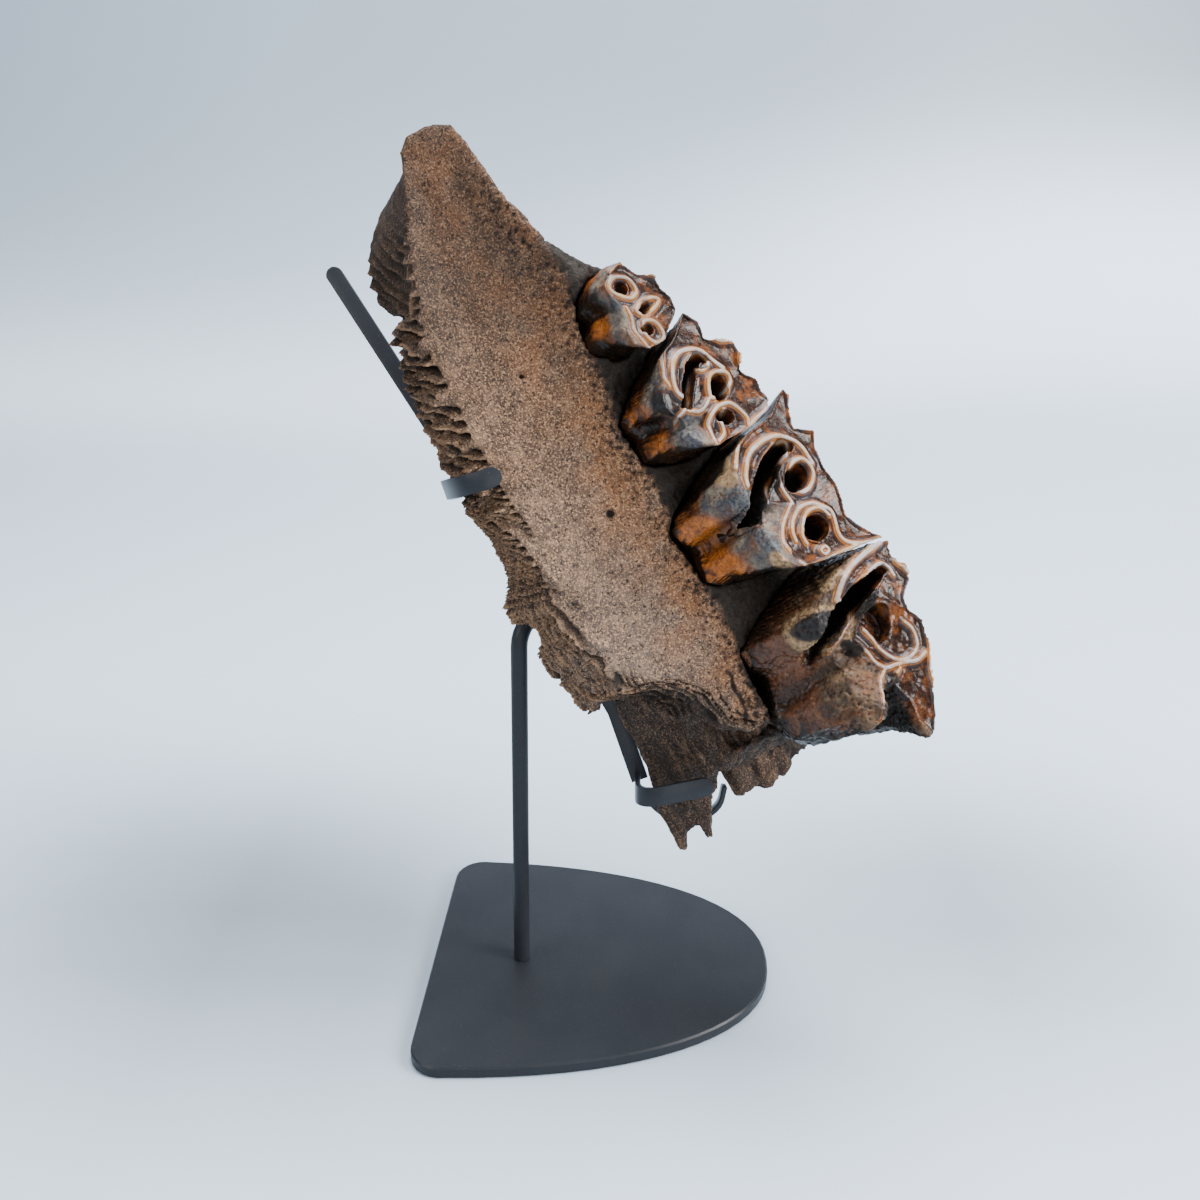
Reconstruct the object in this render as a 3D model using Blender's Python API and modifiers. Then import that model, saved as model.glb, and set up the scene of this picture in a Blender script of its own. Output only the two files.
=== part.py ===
"""Fossil left upper jaw of a woolly rhinoceros with four cheek teeth, on its bent steel display stand.

Metres, +Z up. The origin is on the post's axis at the underside of the base plate. The straight side of
the plate runs along Y, and its round side points to +X. The palate faces -Y and a little upwards.

Two local frames carry the fossil. In the jaw frame, a runs along the jaw from its front end to its back
end, b runs across the palate towards the teeth, and c points out of the palate. In the row frame, u runs
along the tooth row, v points to the cheek side, and w points out of the chewing surface, which is w = 0.
"""

import math

import bmesh
import bpy
from mathutils import Matrix, Vector

MM = 0.001

# Stand
PLATE_SIDE = 120.0 * MM
PLATE_DEPTH = 125.0 * MM
PLATE_THICK = 4.5 * MM
PLATE_SIDE_X = -33.0 * MM
PLATE_CENTRE_Y = 2.5 * MM
PLATE_CURVE_POWER = 2.25
PLATE_CORNER = 11.0 * MM
PLATE_EDGE = 0.6 * MM
ROD_RADIUS = 3.0 * MM
POST_TOP = (2.3, 0.2, 140.5)
POST_END = (12.2, 13.8, 140.8)
POST_BEND_RADIUS = 9.0 * MM
STRIP_WIDTH = 6.0 * MM
BAR_THICK = 3.0 * MM
CLIP_THICK = 1.8 * MM
TOUCH_GAP = 0.3 * MM

# Fossil
JAW_ORIGIN = (30.0, -24.0, 196.0)
JAW_LEAN = math.radians(15.0)
JAW_TURN = math.radians(2.3)
JAW_ROLL = math.radians(-60.0)
ROW_TILT = math.radians(38.0)
ROW_SLOPE = math.atan(0.115)
ROW_HEIGHT = 33.3 * MM
SOCKET_GAP = 0.5 * MM
ROOT_LENGTH = 12.0 * MM
BONE_VOXEL = 1.25 * MM
BONE_TRIANGLE_SHARE = 0.056
STAND_GAP = 0.8 * MM

FINISHES = {
    "black_steel": ((0.018, 0.020, 0.024, 1.0), 0.42, 0.15),
    "fossil_bone": ((0.155, 0.098, 0.062, 1.0), 0.78, 0.0),
    "fossil_tooth": ((0.240, 0.150, 0.085, 1.0), 0.35, 0.0),
}

# Teeth: crown height, then one row for each outline point, from the front cheek-side corner along the
# cheek side: u and v on the chewing rim, how far the rim drops there, then u and v at the neck.
TEETH = {
    "premolar_3": (14.0, [
        (-51.2, 24.7, 0.0, -54.5, 27.0), (-46.4, 29.3, 1.0, -49.0, 32.0), (-43.6, 33.4, 0.0, -44.0, 34.5),
        (-39.5, 33.4, 1.0, -40.0, 34.0), (-35.9, 34.4, 0.4, -36.0, 34.5), (-32.0, 34.0, 0.8, -32.8, 33.0),
        (-28.6, 29.3, 0.8, -31.0, 27.5), (-25.2, 24.0, 0.8, -29.5, 22.0), (-25.0, 16.4, 1.0, -30.6, 17.0),
        (-28.2, 12.8, 1.5, -33.4, 13.4), (-33.0, 13.8, 2.0, -36.6, 12.2), (-36.5, 16.4, 2.6, -40.2, 13.4),
        (-39.4, 17.2, 2.6, -43.4, 16.8), (-43.0, 15.2, 1.6, -46.8, 14.8), (-47.0, 15.2, 1.0, -50.2, 15.6),
        (-49.6, 19.2, 0.5, -53.2, 20.8),
    ]),
    "premolar_4": (21.0, [
        (-30.8, 35.2, 0.5, -28.8, 36.6), (-25.8, 38.4, 0.3, -25.4, 39.0), (-20.8, 37.6, 1.4, -21.0, 38.0),
        (-15.8, 44.8, 0.0, -16.8, 42.8), (-11.7, 45.4, 0.3, -12.2, 43.5), (-7.4, 42.4, 1.3, -8.0, 41.8),
        (-2.8, 45.0, 0.4, -3.6, 43.4), (1.0, 44.2, 0.8, 0.4, 42.0), (4.0, 45.0, 0.8, 3.4, 40.6),
        (7.1, 41.6, 1.0, 5.4, 36.4), (7.9, 35.0, 1.0, 6.0, 31.0), (8.4, 28.0, 1.0, 5.4, 25.0),
        (8.3, 18.8, 1.5, 4.2, 18.6), (6.0, 14.2, 2.2, 2.4, 13.4), (1.6, 13.0, 3.6, -0.6, 10.3),
        (-2.8, 15.2, 5.0, -3.8, 10.8), (-6.2, 13.6, 5.0, -7.2, 12.8), (-9.6, 12.2, 3.8, -10.6, 11.0),
        (-14.0, 13.8, 2.4, -14.2, 9.8), (-18.6, 17.0, 1.4, -17.8, 14.4), (-22.6, 20.6, 1.0, -20.6, 20.0),
        (-24.2, 25.2, 0.8, -23.8, 26.0), (-27.6, 31.0, 0.8, -27.2, 32.0),
    ]),
    "molar_1": (27.0, [
        (3.4, 51.9, 0.0, 7.6, 48.0), (6.2, 52.6, 0.3, 9.6, 49.6), (10.8, 49.4, 0.9, 12.6, 48.0),
        (15.2, 47.4, 1.2, 16.0, 46.8), (19.2, 53.2, 0.0, 19.6, 50.2), (23.5, 50.0, 0.9, 24.0, 48.2),
        (29.5, 48.8, 1.0, 29.2, 47.0), (37.0, 48.6, 0.6, 36.0, 47.2), (41.8, 47.0, 1.0, 40.0, 46.0),
        (45.4, 45.4, 1.4, 43.4, 44.8), (51.0, 47.6, 0.8, 46.4, 44.2), (57.0, 51.8, 0.3, 49.4, 44.6),
        (55.4, 44.0, 0.8, 49.2, 39.0), (53.8, 36.0, 1.0, 48.0, 32.0), (51.8, 25.8, 1.2, 46.0, 25.6),
        (49.3, 17.8, 1.5, 44.0, 18.0), (45.6, 14.6, 2.2, 42.0, 11.6), (40.4, 15.2, 2.8, 39.4, 8.4),
        (35.4, 16.6, 4.0, 35.0, 9.0), (31.0, 18.4, 6.0, 30.0, 11.2), (26.6, 16.8, 3.6, 25.6, 9.0),
        (20.6, 15.8, 2.0, 21.0, 7.8), (15.4, 17.6, 1.0, 17.6, 11.2), (11.6, 21.8, 0.8, 14.2, 20.4),
        (9.9, 28.5, 0.8, 10.2, 28.4), (9.3, 35.0, 0.8, 8.4, 35.0), (8.5, 42.6, 0.8, 7.4, 41.6),
        (5.6, 47.4, 0.5, 7.2, 45.2),
    ]),
    "molar_2": (34.0, [
        (59.0, 53.0, 0.3, 53.4, 47.6), (63.2, 51.0, 1.0, 58.0, 49.4), (68.2, 53.0, 0.2, 64.0, 50.6),
        (72.2, 51.2, 0.6, 68.6, 49.4), (75.0, 46.8, 1.4, 73.0, 47.0), (78.6, 45.0, 1.2, 77.6, 46.0),
        (83.6, 46.6, 0.4, 83.0, 46.2), (89.4, 43.6, 0.4, 89.0, 43.6), (94.0, 39.8, 0.6, 94.0, 41.0),
        (99.4, 36.2, 0.8, 98.6, 38.6), (105.4, 31.8, 1.2, 102.6, 36.0), (110.4, 27.6, 2.4, 105.6, 34.0),
        (111.4, 23.6, 3.4, 106.6, 31.4), (107.0, 24.4, 3.6, 104.6, 29.2), (100.0, 27.8, 4.4, 101.0, 28.6),
        (92.4, 27.2, 6.0, 97.6, 27.0), (91.0, 22.4, 5.0, 97.6, 23.2), (96.8, 18.0, 3.4, 99.6, 18.0),
        (99.4, 12.8, 6.4, 98.6, 12.0), (94.6, 11.4, 8.0, 92.6, 7.6), (88.0, 13.6, 8.0, 85.6, 6.8),
        (81.2, 17.0, 9.0, 79.4, 9.0), (75.6, 19.6, 12.0, 73.4, 12.4), (69.6, 16.4, 8.0, 67.6, 9.2),
        (64.0, 16.4, 6.0, 62.4, 9.0), (60.0, 21.6, 3.4, 59.6, 15.0), (57.6, 28.4, 1.4, 57.0, 22.0),
        (56.0, 36.0, 0.5, 54.6, 31.0), (56.8, 44.0, 0.3, 52.8, 39.6), (57.6, 49.2, 0.3, 52.8, 44.2),
    ]),
}

# Round pits in the chewing surface: u, v, half length, half width, turn in degrees, depth.
PITS = {
    "premolar_3": [(-44.3, 21.1, 2.9, 2.6, 0, 6), (-36.6, 24.5, 3.4, 2.1, 30, 9), (-30.5, 20.6, 2.8, 2.3, 0, 7)],
    "premolar_4": [(-6.5, 31.9, 4.9, 3.8, 60, 12), (2.1, 27.6, 3.5, 2.9, 0, 10)],
    "molar_1": [(28.2, 38.0, 5.6, 4.3, 20, 16), (43.2, 33.6, 5.8, 4.4, 10, 15)],
    "molar_2": [(77.0, 33.4, 8.2, 6.2, 35, 9)],
}

# Curved valleys in the chewing surface: points (u, v, half width) from the inner end outwards, and depth.
VALLEYS = {
    "premolar_4": ([(-14.6, 33.6, 1.4), (-17.2, 31.0, 2.4), (-15.0, 26.6, 2.5), (-10.4, 21.9, 2.6),
                    (-5.4, 18.2, 2.6)], 13),
    "molar_1": ([(20.0, 42.6, 1.6), (17.8, 39.6, 3.0), (20.3, 33.3, 3.9), (24.0, 26.4, 3.8),
                 (28.1, 20.7, 3.4), (32.0, 16.6, 3.0)], 18),
    "molar_2": ([(64.4, 46.4, 1.6), (65.2, 39.4, 3.0), (66.2, 32.0, 4.0), (69.0, 24.6, 4.0),
                 (72.6, 18.3, 3.8), (76.4, 10.5, 4.2)], 21),
}

# Bone cross sections along the jaw: a, suture edge b, gum b, hollow of the palate, plate thickness,
# width of the tooth-bearing part, its depth behind the gum, and how far the plate's back edge is undercut.
BONE_STATIONS = [
    (-113.0, 0.5, 9.0, 0.2, 4.0, 0.3, 4.5, 3.0),
    (-110.0, -3.0, 14.6, 0.8, 7.0, 0.4, 7.0, 5.5),
    (-103.0, -7.0, 16.4, 1.5, 9.0, 0.6, 11.0, 9.0),
    (-94.0, -11.8, 16.2, 2.4, 11.0, 0.8, 14.0, 11.0),
    (-82.0, -17.6, 17.0, 3.2, 12.5, 1.2, 17.0, 10.0),
    (-68.0, -21.6, 20.4, 3.6, 16.0, 2.0, 22.0, 5.0),
    (-57.0, -24.2, 24.0, 3.8, 18.5, 6.0, 29.0, 0.5),
    (-48.0, -25.0, 21.6, 3.8, 19.5, 22.0, 35.0, 0.0),
    (-30.0, -26.4, 19.0, 3.6, 20.0, 28.0, 38.0, 0.0),
    (-10.0, -26.4, 14.2, 3.2, 20.5, 38.0, 41.0, 0.0),
    (12.0, -24.2, 16.4, 3.0, 21.0, 40.0, 43.0, 0.0),
    (32.0, -24.0, 13.2, 2.6, 21.5, 43.0, 44.0, 0.0),
    (50.0, -25.0, 15.0, 2.0, 22.5, 43.0, 44.0, -1.0),
    (59.0, -24.0, 13.6, 1.4, 22.0, 43.0, 43.0, -1.0),
    (63.5, -14.0, 12.8, 1.0, 18.0, 42.0, 42.0, 0.0),
    (72.0, -5.6, 12.4, 0.6, 16.0, 41.0, 41.0, 2.0),
    (83.0, -2.6, 12.4, 0.2, 15.0, 38.0, 40.0, 4.0),
    (89.0, 4.0, 10.6, 0.0, 14.0, 35.0, 37.0, 5.0),
]


# The thin nasal crest behind the suture edge at the front, and the low ridge it runs on into:
# a, then b and c of the foot, then b and c of the tip.
NASAL_CREST = [
    (-110.0, 2.0, -4.0, -7.0, -27.0), (-106.5, -0.5, -6.0, -16.6, -30.0), (-103.0, -2.0, -7.0, -21.6, -31.0),
    (-97.0, -5.5, -8.5, -27.0, -31.0), (-91.0, -8.5, -9.5, -30.6, -31.0), (-86.0, -11.0, -10.0, -31.4, -31.0),
    (-79.0, -14.5, -11.0, -31.0, -30.5), (-74.5, -17.0, -12.0, -28.0, -24.0), (-69.0, -19.0, -12.0, -26.5, -19.0),
]
NASAL_RIDGE = [
    (-71.0, -19.0, -10.0, -28.0, -17.0), (-60.0, -28.0, -10.0, -33.5, -18.5), (-40.0, -30.0, -11.0, -36.0, -19.0),
    (-10.0, -31.0, -11.0, -38.0, -20.5), (6.0, -30.0, -11.0, -37.0, -21.0), (14.0, -30.5, -11.0, -40.0, -25.0),
    (19.0, -31.0, -11.0, -46.0, -31.0), (26.5, -31.0, -11.0, -46.4, -31.5), (29.0, -31.0, -12.0, -40.0, -22.0),
    (45.0, -31.0, -13.0, -37.0, -21.0),
]
CREST_THICK = 4.4

# Stand strips in the jaw frame: the bar behind the fossil, the two clips over its edges, the cradle under it.
BAR_PATH = [(-103.4, -41.4, -42.5), (64.0, -33.8, -41.5), (70.0, -33.8, -41.2), (94.0, -38.2, -38.5)]
UPPER_CLIP_PATH = [(-20.0, -35.0, -46.2), (-21.0, -41.4, -46.0), (-21.6, -43.6, -37.0), (-21.6, -43.0, -22.0),
                   (-20.6, -40.4, -9.0), (-18.8, -35.6, 1.2), (-17.2, -29.8, 4.2), (-16.0, -23.6, 4.4)]
LOWER_CLIP_PATH = [(93.4, -38.8, -36.2), (93.8, -39.4, -28.0), (93.6, -38.8, -19.0), (94.8, -35.0, -13.6),
                   (97.2, -27.0, -12.4), (101.0, -16.6, -13.6)]
CRADLE_PATH = [(99.0, -39.4, -37.0), (106.0, -37.6, -37.0), (112.0, -33.4, -37.0), (115.2, -26.6, -37.0),
               (114.4, -19.4, -37.0), (109.6, -14.4, -37.0)]
CLIP_WIDTH_WAY = (0.98, -0.18, 0.0)
LOWER_WIDTH_WAY = (0.866, -0.5, 0.0)


def clear_scene():
    for obj in list(bpy.data.objects):
        bpy.data.objects.remove(obj, do_unlink=True)


def new_collection(name):
    collection = bpy.data.collections.new(name)
    bpy.context.scene.collection.children.link(collection)
    return collection


def make_finishes():
    made = {}
    for name, (colour, roughness, metallic) in FINISHES.items():
        material = bpy.data.materials.new(name)
        material.use_nodes = True
        shader = material.node_tree.nodes["Principled BSDF"]
        shader.inputs["Base Color"].default_value = colour
        shader.inputs["Roughness"].default_value = roughness
        shader.inputs["Metallic"].default_value = metallic
        made[name] = material
    return made


def millimetres(*values):
    return Vector(value * MM for value in values)


def jaw_matrix():
    """The jaw frame in the world: a, b and c as columns."""
    out = Vector((math.sin(JAW_TURN) * math.cos(JAW_LEAN),
                  -math.cos(JAW_TURN) * math.cos(JAW_LEAN),
                  math.sin(JAW_LEAN)))
    right = Vector((math.cos(JAW_TURN), math.sin(JAW_TURN), 0.0))
    up = out.cross(right)
    along = math.cos(JAW_ROLL) * right + math.sin(JAW_ROLL) * up
    across = out.cross(along)
    turn = Matrix((along, across, out)).transposed().to_4x4()
    return Matrix.Translation(millimetres(*JAW_ORIGIN)) @ turn


def row_matrix():
    """The row frame in the jaw frame: u, v and w as columns."""
    upright = Vector((0.0, math.sin(ROW_TILT), math.cos(ROW_TILT)))
    along = Vector((math.cos(ROW_SLOPE), 0.0, 0.0)) + upright * math.sin(ROW_SLOPE)
    out = upright * math.cos(ROW_SLOPE) - Vector((math.sin(ROW_SLOPE), 0.0, 0.0))
    cheek = out.cross(along)
    turn = Matrix((along, cheek, out)).transposed().to_4x4()
    return Matrix.Translation(upright * ROW_HEIGHT) @ turn


def add_loft(bm, rings):
    """Joins rings of the same number of points with quads and closes both ends."""
    loops = [[bm.verts.new(point) for point in ring] for ring in rings]
    count = len(loops[0])
    for lower, upper in zip(loops, loops[1:]):
        for i in range(count):
            j = (i + 1) % count
            bm.faces.new((lower[i], lower[j], upper[j], upper[i]))
    bm.faces.new(reversed(loops[0]))
    bm.faces.new(loops[-1])


def finish_mesh(name, bm, collection, triangulated=False):
    if triangulated:
        bmesh.ops.triangulate(bm, faces=bm.faces[:])
    bmesh.ops.recalc_face_normals(bm, faces=bm.faces[:])
    mesh = bpy.data.meshes.new(name)
    bm.to_mesh(mesh)
    bm.free()
    obj = bpy.data.objects.new(name, mesh)
    collection.objects.link(obj)
    return obj


def dress(obj, material, smooth_angle=40.0):
    obj.data.materials.append(material)
    obj.data.shade_smooth()
    obj.data.set_sharp_from_angle(angle=math.radians(smooth_angle))


def hide_as_cutter(obj):
    obj.hide_render = True
    obj.display_type = "WIRE"


def cut(obj, cutter):
    modifier = obj.modifiers.new("cut_" + cutter.name, "BOOLEAN")
    modifier.operation = "DIFFERENCE"
    modifier.solver = "EXACT"
    modifier.object = cutter


def add_frame(name, matrix, parent, collection):
    empty = bpy.data.objects.new(name, None)
    empty.matrix_world = matrix
    empty.parent = parent
    collection.objects.link(empty)
    return empty


def rounded_path(points, radius, steps=6):
    """The polyline with each inner corner replaced by an arc."""
    path = [points[0]]
    for before, corner, after in zip(points, points[1:], points[2:]):
        back = (before - corner).normalized()
        ahead = (after - corner).normalized()
        half = back.angle(ahead) / 2
        reach = radius / math.tan(half)
        centre = corner + (back + ahead).normalized() * radius / math.sin(half)
        start = corner + back * reach - centre
        turn = math.pi - 2 * half
        axis = back.cross(ahead).normalized()
        path += [centre + Matrix.Rotation(-turn * k / steps, 3, axis) @ start for k in range(steps + 1)]
    path.append(points[-1])
    return path


def smooth_path(points, steps=4):
    """A smooth curve through the points."""
    ends = [2 * points[0] - points[1]] + points + [2 * points[-1] - points[-2]]
    path = []
    for p, q, r, s in zip(ends, ends[1:], ends[2:], ends[3:]):
        for k in range(steps):
            t = k / steps
            path.append(0.5 * (2 * q + (r - p) * t + (2 * p - 5 * q + 4 * r - s) * t * t
                               + (3 * q - p - 3 * r + s) * t * t * t))
    path.append(points[-1])
    return path


def strip_rings(path, width_way, width, thick, round_start=False, round_end=False):
    """Sections of a flat strip along a path, its ends rounded in outline where asked."""
    lengths = [0.0]
    for p, q in zip(path, path[1:]):
        lengths.append(lengths[-1] + (q - p).length)
    length = lengths[-1]
    tips = [width / 2 * (1 - math.sin(math.pi / 10 * k)) for k in range(1, 5)]
    stations = set(lengths)
    if round_start:
        stations.update(tips)
    if round_end:
        stations.update(length - tip for tip in tips)
    rings = []
    for at in sorted(stations):
        i = min(len(path) - 2, max(k for k in range(len(path)) if lengths[k] <= at + 1e-9))
        along = path[i + 1] - path[i]
        point = path[i] + along * ((at - lengths[i]) / along.length)
        before = path[max(0, i - 1)] if at - lengths[i] < 1e-9 else path[i]
        tangent = (path[i + 1] - before).normalized()
        side = (width_way - tangent * width_way.dot(tangent)).normalized()
        face = tangent.cross(side)
        half = width / 2
        from_tip = min(at if round_start else half, length - at if round_end else half, half)
        half *= max(0.35, math.sqrt(max(0.0, 1 - (1 - from_tip / half) ** 2)))
        rings.append([point + side * sx * half + face * sy * thick / 2
                      for sx, sy in ((-1, -1), (1, -1), (1, 1), (-1, 1))])
    return rings


def make_strip(name, points, width_way, thick, collection, extra=0.0, width=STRIP_WIDTH,
               round_start=False, round_end=True, smooth=True):
    path = [millimetres(*point) for point in points]
    if smooth:
        path = smooth_path(path)
    bm = bmesh.new()
    rings = strip_rings(path, Vector(width_way).normalized(), width + 2 * extra, thick + 2 * extra,
                        round_start, round_end)
    add_loft(bm, rings)
    return finish_mesh(name, bm, collection)


def make_base_plate(collection, finishes):
    """A D-shaped plate: a straight side with rounded corners, and a full curve out to +X."""
    steps = 40
    outline = []
    for k in range(steps + 1):
        angle = math.pi * (k / steps - 0.5)
        reach = abs(math.cos(angle)) ** (2 / PLATE_CURVE_POWER)
        swing = math.copysign(abs(math.sin(angle)) ** (2 / PLATE_CURVE_POWER), angle)
        outline.append(Vector((PLATE_SIDE_X + PLATE_DEPTH * reach, PLATE_CENTRE_Y + PLATE_SIDE / 2 * swing, 0.0)))
    kept = [p for p in outline if p.x > PLATE_SIDE_X + PLATE_CORNER]
    corners = []
    for sign in (1, -1):
        centre = Vector((PLATE_SIDE_X + PLATE_CORNER, PLATE_CENTRE_Y + sign * (PLATE_SIDE / 2 - PLATE_CORNER), 0.0))
        turns = [math.pi / 2 + math.pi / 2 * k / 6 for k in range(7)]
        arc = [centre + PLATE_CORNER * Vector((math.cos(t), sign * math.sin(t), 0.0)) for t in turns]
        corners += arc if sign > 0 else arc[::-1]
    bm = bmesh.new()
    face = bm.faces.new([bm.verts.new(p) for p in kept + corners])
    grown = bmesh.ops.extrude_face_region(bm, geom=[face])
    moved = [v for v in grown["geom"] if isinstance(v, bmesh.types.BMVert)]
    bmesh.ops.translate(bm, verts=moved, vec=(0.0, 0.0, PLATE_THICK))
    plate = finish_mesh("base_plate", bm, collection)
    bevel = plate.modifiers.new("soft_edge", "BEVEL")
    bevel.width = PLATE_EDGE
    bevel.segments = 1
    bevel.limit_method = "ANGLE"
    bevel.angle_limit = math.radians(50)
    dress(plate, finishes["black_steel"])


def make_post(collection, finishes):
    """The round rod: up from the plate, then bent back towards the bar."""
    foot = Vector((0.0, 0.0, PLATE_THICK + TOUCH_GAP))
    path = rounded_path([foot, millimetres(*POST_TOP), millimetres(*POST_END)], POST_BEND_RADIUS)
    curve = bpy.data.curves.new("post", "CURVE")
    curve.dimensions = "3D"
    curve.bevel_depth = ROD_RADIUS
    curve.bevel_resolution = 3
    curve.use_fill_caps = True
    spline = curve.splines.new("POLY")
    spline.points.add(len(path) - 1)
    for point, place in zip(spline.points, path):
        point.co = (*place, 1.0)
    post = bpy.data.objects.new("post", curve)
    curve.materials.append(finishes["black_steel"])
    collection.objects.link(post)


def make_stand_strips(collection, cutters, jaw, finishes):
    """The bar behind the fossil, the two clips over its edges and the cradle under its lower end."""
    plans = {
        "back_bar": (BAR_PATH, (0.0, 1.0, 0.0), BAR_THICK, 5.6 * MM, True, False),
        "upper_clip": (UPPER_CLIP_PATH, CLIP_WIDTH_WAY, CLIP_THICK, STRIP_WIDTH, False, True),
        "lower_clip": (LOWER_CLIP_PATH, LOWER_WIDTH_WAY, CLIP_THICK, STRIP_WIDTH, False, True),
        "cradle": (CRADLE_PATH, (0.0, 0.0, 1.0), CLIP_THICK, 5.0 * MM, False, False),
    }
    spaces = []
    for name, (points, way, thick, width, straight, rounded) in plans.items():
        strip = make_strip(name, points, way, thick, collection, width=width, round_start=straight,
                           round_end=rounded, smooth=not straight)
        strip.parent = jaw
        dress(strip, finishes["black_steel"])
        space = make_strip(name + "_space", points, way, thick, cutters, extra=STAND_GAP, width=width,
                           round_end=False, smooth=not straight)
        space.parent = jaw
        hide_as_cutter(space)
        spaces.append(space)
    return spaces


def tooth_rings(height, rows, grow=0.0):
    """Sections of a tooth from its root end up to the chewing rim, grown outwards where asked."""
    def ring(rim_share, level, drop_share, shrink=1.0):
        points = []
        for u, v, drop, neck_u, neck_v in rows:
            points.append(Vector((neck_u + (u - neck_u) * rim_share, neck_v + (v - neck_v) * rim_share,
                                  level - drop * drop_share)) * MM)
        middle = sum(points, Vector()) / len(points)
        flat = Vector((1.0, 1.0, 0.0))
        grown = []
        for before, point, after in zip(points[-1:] + points[:-1], points, points[1:] + points[:1]):
            way = (after - before) * flat
            outwards = Vector((-way.y, way.x, 0.0)).normalized() * grow
            core = middle + (point - middle) * shrink
            grown.append(Vector((core.x, core.y, point.z)) + outwards)
        return grown
    root = ROOT_LENGTH / MM
    rings = [ring(0.0, -height - root - grow / MM, 0.0, 0.70), ring(0.0, -height - root * 0.5, 0.0, 0.90)]
    for share in (1.0, 0.8, 0.55, 0.3, 0.12):
        rings.append(ring((1 - share) ** 1.7, -height * share, 1 - share))
    rings.append(ring(1.0, 0.0, 1.0))
    return rings


def make_pit(name, plan, cutters, row):
    """A tapered oval pit sunk from above the chewing surface."""
    u, v, half_length, half_width, turn, depth = plan
    above = 6.0
    bm = bmesh.new()
    bmesh.ops.create_cone(bm, cap_ends=True, segments=14, radius1=0.72, radius2=1.0, depth=1.0)
    place = (Matrix.Translation(millimetres(u, v, (above - depth) / 2))
             @ Matrix.Rotation(math.radians(turn), 4, "Z")
             @ Matrix.Diagonal(Vector((half_width * MM, half_length * MM, (above + depth) * MM, 1.0))))
    bmesh.ops.transform(bm, matrix=place, verts=bm.verts[:])
    pit = finish_mesh(name, bm, cutters)
    pit.parent = row
    hide_as_cutter(pit)
    return pit


def make_valley(name, path, depth, cutters, row):
    """A curved trench that opens on the tongue side, narrower at its floor."""
    top, floor = [], []
    points = [Vector((u, v)) for u, v, _ in path]
    for side in (1, -1):
        order = range(len(path)) if side > 0 else reversed(range(len(path)))
        for i in order:
            way = (points[min(i + 1, len(path) - 1)] - points[max(i - 1, 0)]).normalized()
            across = Vector((-way.y, way.x)) * side * path[i][2]
            top.append(millimetres(*(points[i] + across), 6.0))
            floor.append(millimetres(*(points[i] + across * 0.55), -depth))
    bm = bmesh.new()
    add_loft(bm, [floor, top])
    valley = finish_mesh(name, bm, cutters, triangulated=True)
    valley.parent = row
    hide_as_cutter(valley)
    return valley


def make_tooth(name, collection, cutters, row, finishes):
    """One cheek tooth: root, flared crown, hollowed chewing surface, valley and pits."""
    height, rows = TEETH[name]
    bm = bmesh.new()
    add_loft(bm, tooth_rings(height, rows))
    tooth = finish_mesh(name, bm, collection, triangulated=True)
    tooth.parent = row
    for k, plan in enumerate(PITS[name]):
        cut(tooth, make_pit(f"{name}_pit_{k + 1}", plan, cutters, row))
    if name in VALLEYS:
        path, depth = VALLEYS[name]
        cut(tooth, make_valley(name + "_valley", path, depth, cutters, row))
    dress(tooth, finishes["fossil_tooth"], 35.0)
    bm = bmesh.new()
    for ring in tooth_rings(height, rows, SOCKET_GAP):
        for point in ring:
            bm.verts.new(point)
    hull = bmesh.ops.convex_hull(bm, input=bm.verts[:])
    inner = [v for v in hull["geom_interior"] if isinstance(v, bmesh.types.BMVert)]
    bmesh.ops.delete(bm, geom=inner, context="VERTS")
    socket = finish_mesh(name + "_socket", bm, cutters, triangulated=True)
    socket.parent = row
    hide_as_cutter(socket)
    return socket


def bone_section(a, left, gum, hollow, thick, reach, depth, undercut):
    """One section of the bone: palate, tooth-bearing ridge, cheek wall, then the nasal side."""
    out = Vector((0.0, math.sin(ROW_TILT), math.cos(ROW_TILT)))
    cheek = Vector((0.0, math.cos(ROW_TILT), -math.sin(ROW_TILT)))
    edge = Vector((0.0, left, 0.0))
    lip = Vector((0.0, gum, 1.2))
    points = [
        edge,
        Vector((0.0, left + 0.30 * (gum - left), -hollow)),
        Vector((0.0, left + 0.68 * (gum - left), -0.8 * hollow)),
        lip,
        lip + cheek * reach,
        lip + cheek * (reach + 0.05 * depth) - out * 0.30 * depth,
        lip + cheek * (reach - 0.10 * depth) - out * 0.85 * depth,
        lip + cheek * 0.62 * reach - out * 1.15 * depth,
        lip + cheek * 0.30 * reach - out * 1.05 * depth,
        lip + cheek * 0.02 * reach - out * (0.45 * depth + 0.4 * thick),
        edge + Vector((0.0, 0.30 * (gum - left), -0.2 * hollow)) - out * thick,
        edge - out * thick + Vector((0.0, undercut, 0.0)),
    ]
    return [Vector((a, p.y, p.z)) * MM for p in points]


def add_block(bm, centre, size, axes, taper=1.0):
    """A box with its own axes: an along direction, an across direction and their normal."""
    along = Vector(axes[0]).normalized()
    across = (Vector(axes[1]) - along * along.dot(Vector(axes[1]))).normalized()
    turn = Matrix((along, across, along.cross(across))).transposed().to_4x4()
    place = Matrix.Translation(millimetres(*centre)) @ turn @ Matrix.Diagonal((*[s * MM for s in size], 1.0))
    made = bmesh.ops.create_cube(bm, size=1.0)["verts"]
    for vert in made:
        if vert.co.x > 0:
            vert.co.y *= taper
            vert.co.z *= taper
    bmesh.ops.transform(bm, matrix=place, verts=made)


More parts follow.
